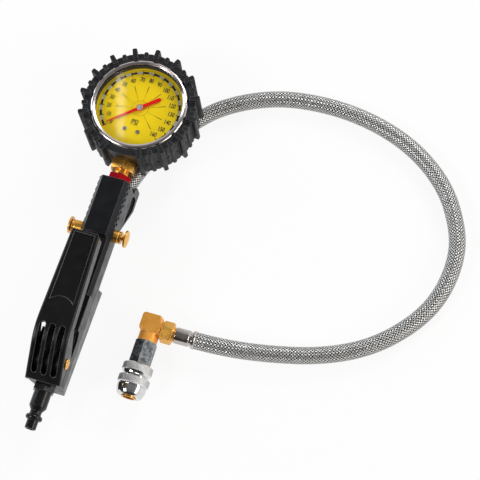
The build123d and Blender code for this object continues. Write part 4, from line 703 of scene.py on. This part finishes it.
def knurledSleeve(name, settings):
    # the profile turned about Y; on the grip bands the radius follows the product of two waves, which run
    # round and along with opposite slants and so leave crossing rows of small pyramids
    radii, stations, grips = [], [], []
    profile = settings["profile"]
    for index, (radius, station, pieces) in enumerate(profile):
        nextRadius, nextStation, _ = profile[(index + 1) % len(profile)]
        count = pieces or settings["bandRings"]
        share = np.arange(count) / count
        bow = settings["bow"] * np.sin(np.pi * share) if pieces > 1 else 0.0
        radii.append(radius + (nextRadius - radius) * share + bow)
        stations.append(station + (nextStation - station) * share)
        rise = np.sin(np.pi * np.clip(share * settings["fade"], 0, 0.5))
        fall = np.sin(np.pi * np.clip((1 - share) * settings["fade"], 0, 0.5))
        grips.append(np.zeros(count) if pieces else rise * fall)
    radii, stations, grips = np.concatenate(radii), np.concatenate(stations), np.concatenate(grips)
    turn = np.linspace(0, 2 * np.pi, settings["columns"], endpoint=False)[None, :]
    along = 2 * np.pi * stations[:, None] / settings["pitch"]
    around = settings["teeth"] * turn
    ridge = np.abs(np.sin((around + along) / 2)) * np.abs(np.sin((around - along) / 2))
    radius = radii[:, None] + grips[:, None] * settings["depth"] * (ridge - settings["level"])
    centreX, centreHeight = settings["centre"]
    x, y, z = placeMm(centreX, stations[:, None], centreHeight)
    across, up = radius * np.cos(turn) * mm, radius * np.sin(turn) * mm
    points = np.stack(np.broadcast_arrays(x + across, y, z + up), -1)
    rows, columns = points.shape[:2]
    piece = meshFrom(name, points.reshape(-1, 3), gridQuads(rows, columns, True)[:, ::-1])
    # the polished parts keep their edges
    piece.data.set_sharp_from_angle(angle=math.radians(settings["sharpFrom"]))
    shade = piece.data.attributes.new("gripBand", "FLOAT", "POINT")
    shade.data.foreach_set("value", np.repeat(grips != 0, columns).astype(np.float32))
    return piece


sleeveFinish = {
    "polished": ((0.74, 0.74, 0.75), (0.66, 0.65, 0.65)), "frosted": ((0.56, 0.56, 0.56), (0.48, 0.48, 0.48)),
    "toneScale": 200, "metallic": 1.0, "roughness": (0.07, 0.40),
}


def sleeveMaterial(name, settings):
    # polished chrome, frosted where the grip bands are
    material, tree, shader = newMaterial(name)
    band = tree.nodes.new("ShaderNodeAttribute")
    band.attribute_name = "gripBand"
    tone = spread(tree, noiseOf(tree, settings["toneScale"]), 0.0, 1.0)
    polished = blendColour(tree, tone, *settings["polished"])
    frosted = blendColour(tree, tone, *settings["frosted"])
    tree.links.new(blendColour(tree, band.outputs["Fac"], polished, frosted), shader.inputs["Base Color"])
    shader.inputs["Metallic"].default_value = settings["metallic"]
    rough = spread(tree, band.outputs["Fac"], *settings["roughness"], 0.0, 1.0)
    tree.links.new(rough, shader.inputs["Roughness"])
    return material


sleeveChrome = sleeveMaterial("sleeveChrome", sleeveFinish)
sleevePiece = knurledSleeve("knurled_sleeve", sleeveSet)
sleevePiece.data.materials.append(sleeveChrome)
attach(sleevePiece, "sleeve")
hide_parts("chuck_sleeve")
dress(sleeveChrome, "chuck_sleeve")
print("sleeve knurled")


# springs of round wire; the axis is 1 for Y and 2 for Z
springSet = {
    "valve": {"foot": (0.0, 88.0, -15.4), "axis": 2, "height": 17.48, "turns": 5, "radius": 3.4, "wire": 1.0,
              "joint": "push_rod_slide", "node": "valve_spring", "anchorAtTop": False, "keep": 0.70},
    "chuck": {"foot": (54.3, 53.55, -12.9), "axis": 1, "height": 10.6, "turns": 5, "radius": 7.3, "wire": 0.9,
              "joint": "sleeve_slide", "node": "chuck_spring", "anchorAtTop": True, "keep": 0.72},
}


def coilSpring(name, settings, perTurn=40, sides=10):
    # a circle of wire carried along a helix: cosine and sine of the turn times the radius, and an even rise;
    # the circle's directions are outward from the axis and square to that and the line
    t = np.linspace(0, 2 * np.pi * settings["turns"], settings["turns"] * perTurn + 1)
    radius, rise = settings["radius"], settings["height"] / t[-1]
    line = np.stack([radius * np.cos(t), radius * np.sin(t), rise * t], -1)
    outward = np.stack([np.cos(t), np.sin(t), 0 * t], -1)
    tangent = np.stack([-radius * np.sin(t), radius * np.cos(t), rise + 0 * t], -1)
    tangent /= np.linalg.norm(tangent, axis=1)[:, None]
    across = np.cross(tangent, outward)
    wire = np.r_[0.0, np.full(len(t), settings["wire"] / 2), 0.0][:, None, None]
    line, outward, across = (np.vstack([a[:1], a, a[-1:]])[:, None, :] for a in (line, outward, across))
    turn = np.linspace(0, 2 * np.pi, sides, endpoint=False)[None, :, None]
    points = line + wire * (np.cos(turn) * outward + np.sin(turn) * across)
    rows = len(points)
    points = np.roll(points.reshape(-1, 3), settings["axis"] - 2, axis=1)
    foot = np.array(placeMm(*settings["foot"]))
    piece = meshFrom(name, foot + points * mm, gridQuads(rows, sides, False)[:, ::-1])
    closePoles(piece, sides)
    return piece, foot


springSteel = finish("springSteel", steelFinish)
for which, spring in springSet.items():
    piece, foot = coilSpring(which + "_coil", spring)
    piece.data.materials.append(springSteel)
    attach(piece, "handle")
    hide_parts(spring["node"])
    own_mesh(piece)
print("springs wound")
# room: pale floor, white surroundings and soft lamps
roomSet = {
    "floorSize": 6.0, "floorDrop": 0.0003, "floorColour": (0.86, 0.86, 0.86), "floorTone": 0.99,
    "floorToneScale": 3, "floorRoughness": 0.9, "floorGlow": 0.90, "lampTarget": (0.05, 0.0, 0.02),
    "lamps": [
        {"name": "rightKey", "place": (1.5, -0.2, 0.8), "size": (0.5, 1.3), "power": 10,
         "colour": (1.0, 0.93, 0.84)},
        {"name": "backLight", "place": (0.5, 1.6, 1.3), "size": (1.0, 0.8), "power": 20,
         "colour": (1.0, 1.0, 1.0)},
        {"name": "leftFront", "place": (-1.3, -1.2, 1.6), "size": (0.8, 0.8), "power": 28,
         "colour": (1.0, 1.0, 1.0)},
        {"name": "leftLow", "place": (-1.5, 0.5, 0.7), "size": (0.9, 0.6), "power": 6,
         "colour": (0.82, 0.9, 1.0)},
        {"name": "windowStrip", "place": (-0.438, 0.706, 1.47), "size": (0.014, 0.12), "power": 0.02,
         "colour": (1.0, 1.0, 1.0), "along": (-0.249, 0.898, -0.3615)},
    ],
    # the light side lies towards this direction; each side's stops are height above the horizon, grey level
    "towards": (0.55, 0.83, 0.0), "sideSpan": (-0.35, 0.45),
    "darkSide": [(0.0, 1.0), (0.08, 0.80), (0.20, 0.06), (0.60, 0.04), (0.85, 0.12), (1.0, 0.20)],
    "lightSide": [(0.0, 1.0), (0.12, 0.90), (0.30, 0.72), (0.60, 0.50), (0.85, 0.24), (1.0, 0.20)],
}


def buildFloor(settings):
    # one flat square just under the tool, which glows for the camera and in mirrors
    half, drop = settings["floorSize"] / 2, -settings["floorDrop"]
    corners = np.array([(-half, -half, drop), (half, -half, drop), (half, half, drop), (-half, half, drop)])
    floor = meshFrom("paleFloor", corners, np.array([[0, 1, 2, 3]]), smooth=False)
    material, tree, shader = newMaterial("floorPaint")
    tone = spread(tree, noiseOf(tree, settings["floorToneScale"]), 0, 1)
    colour = settings["floorColour"]
    second = tuple(settings["floorTone"] * c for c in colour)
    tree.links.new(blendColour(tree, tone, colour, second), shader.inputs["Base Color"])
    shader.inputs["Roughness"].default_value = settings["floorRoughness"]
    shader.inputs["Specular IOR Level"].default_value = 0.0
    rays = tree.nodes.new("ShaderNodeLightPath")
    seen = calc(tree, "MAXIMUM", rays.outputs["Is Camera Ray"], rays.outputs["Is Glossy Ray"])
    share = calc(tree, "MULTIPLY", seen, settings["floorGlow"])
    glow = tree.nodes.new("ShaderNodeEmission")
    mix = tree.nodes.new("ShaderNodeMixShader")
    tree.links.new(share, mix.inputs[0])
    tree.links.new(shader.outputs[0], mix.inputs[1])
    tree.links.new(glow.outputs[0], mix.inputs[2])
    tree.links.new(mix.outputs[0], tree.nodes["Material Output"].inputs["Surface"])
    floor.data.materials.append(material)


def buildLamp(settings, target):
    # a rectangle that faces the target; its width lies square to the line it runs along
    data = bpy.data.lights.new(settings["name"], "AREA")
    data.shape = "RECTANGLE"
    data.size, data.size_y = settings["size"]
    data.energy = settings["power"]
    data.color = settings["colour"]
    lamp = bpy.data.objects.new(settings["name"], data)
    away = (Vector(settings["place"]) - Vector(target)).normalized()
    across = Vector(settings.get("along", (0.0, 1.0, 0.0))).cross(away).normalized()
    turn = Matrix((across, away.cross(across), away)).transposed()
    lamp.matrix_world = Matrix.Translation(settings["place"]) @ turn.to_4x4()
    bpy.context.scene.collection.objects.link(lamp)


def heightRamp(tree, height, stops):
    # grey levels by height, blended between the stops
    ramp = tree.nodes.new("ShaderNodeValToRGB")
    while len(ramp.color_ramp.elements) < len(stops):
        ramp.color_ramp.elements.new(0.5)
    for element, (position, grey) in zip(ramp.color_ramp.elements, stops):
        element.position = position
        element.color = (grey, grey, grey, 1)
    tree.links.new(height, ramp.inputs["Fac"])
    return ramp.outputs["Color"]


def buildSurroundings(settings):
    # white to the camera; for everything else a room with a dark and a light side
    world = bpy.data.worlds.new("whiteRoom")
    bpy.context.scene.world = world
    world.use_nodes = True
    tree = world.node_tree
    background = tree.nodes["Background"]
    where = tree.nodes.new("ShaderNodeTexCoord")
    parts = tree.nodes.new("ShaderNodeSeparateXYZ")
    tree.links.new(where.outputs["Generated"], parts.inputs[0])
    dark = heightRamp(tree, parts.outputs["Z"], settings["darkSide"])
    light = heightRamp(tree, parts.outputs["Z"], settings["lightSide"])
    side = tree.nodes.new("ShaderNodeVectorMath")
    side.operation = "DOT_PRODUCT"
    tree.links.new(where.outputs["Generated"], side.inputs[0])
    side.inputs[1].default_value = settings["towards"]
    share = spread(tree, side.outputs["Value"], 0.0, 1.0, *settings["sideSpan"])
    room = blendColour(tree, share, dark, light)
    rays = tree.nodes.new("ShaderNodeLightPath")
    shown = blendColour(tree, rays.outputs["Is Camera Ray"], room, (1.0, 1.0, 1.0))
    tree.links.new(shown, background.inputs["Color"])
    background.inputs["Strength"].default_value = 1.0


buildFloor(roomSet)
for lampSet in roomSet["lamps"]:
    buildLamp(lampSet, roomSet["lampTarget"])
buildSurroundings(roomSet)
bpy.context.scene.view_settings.view_transform = "Standard"
print("room lit")
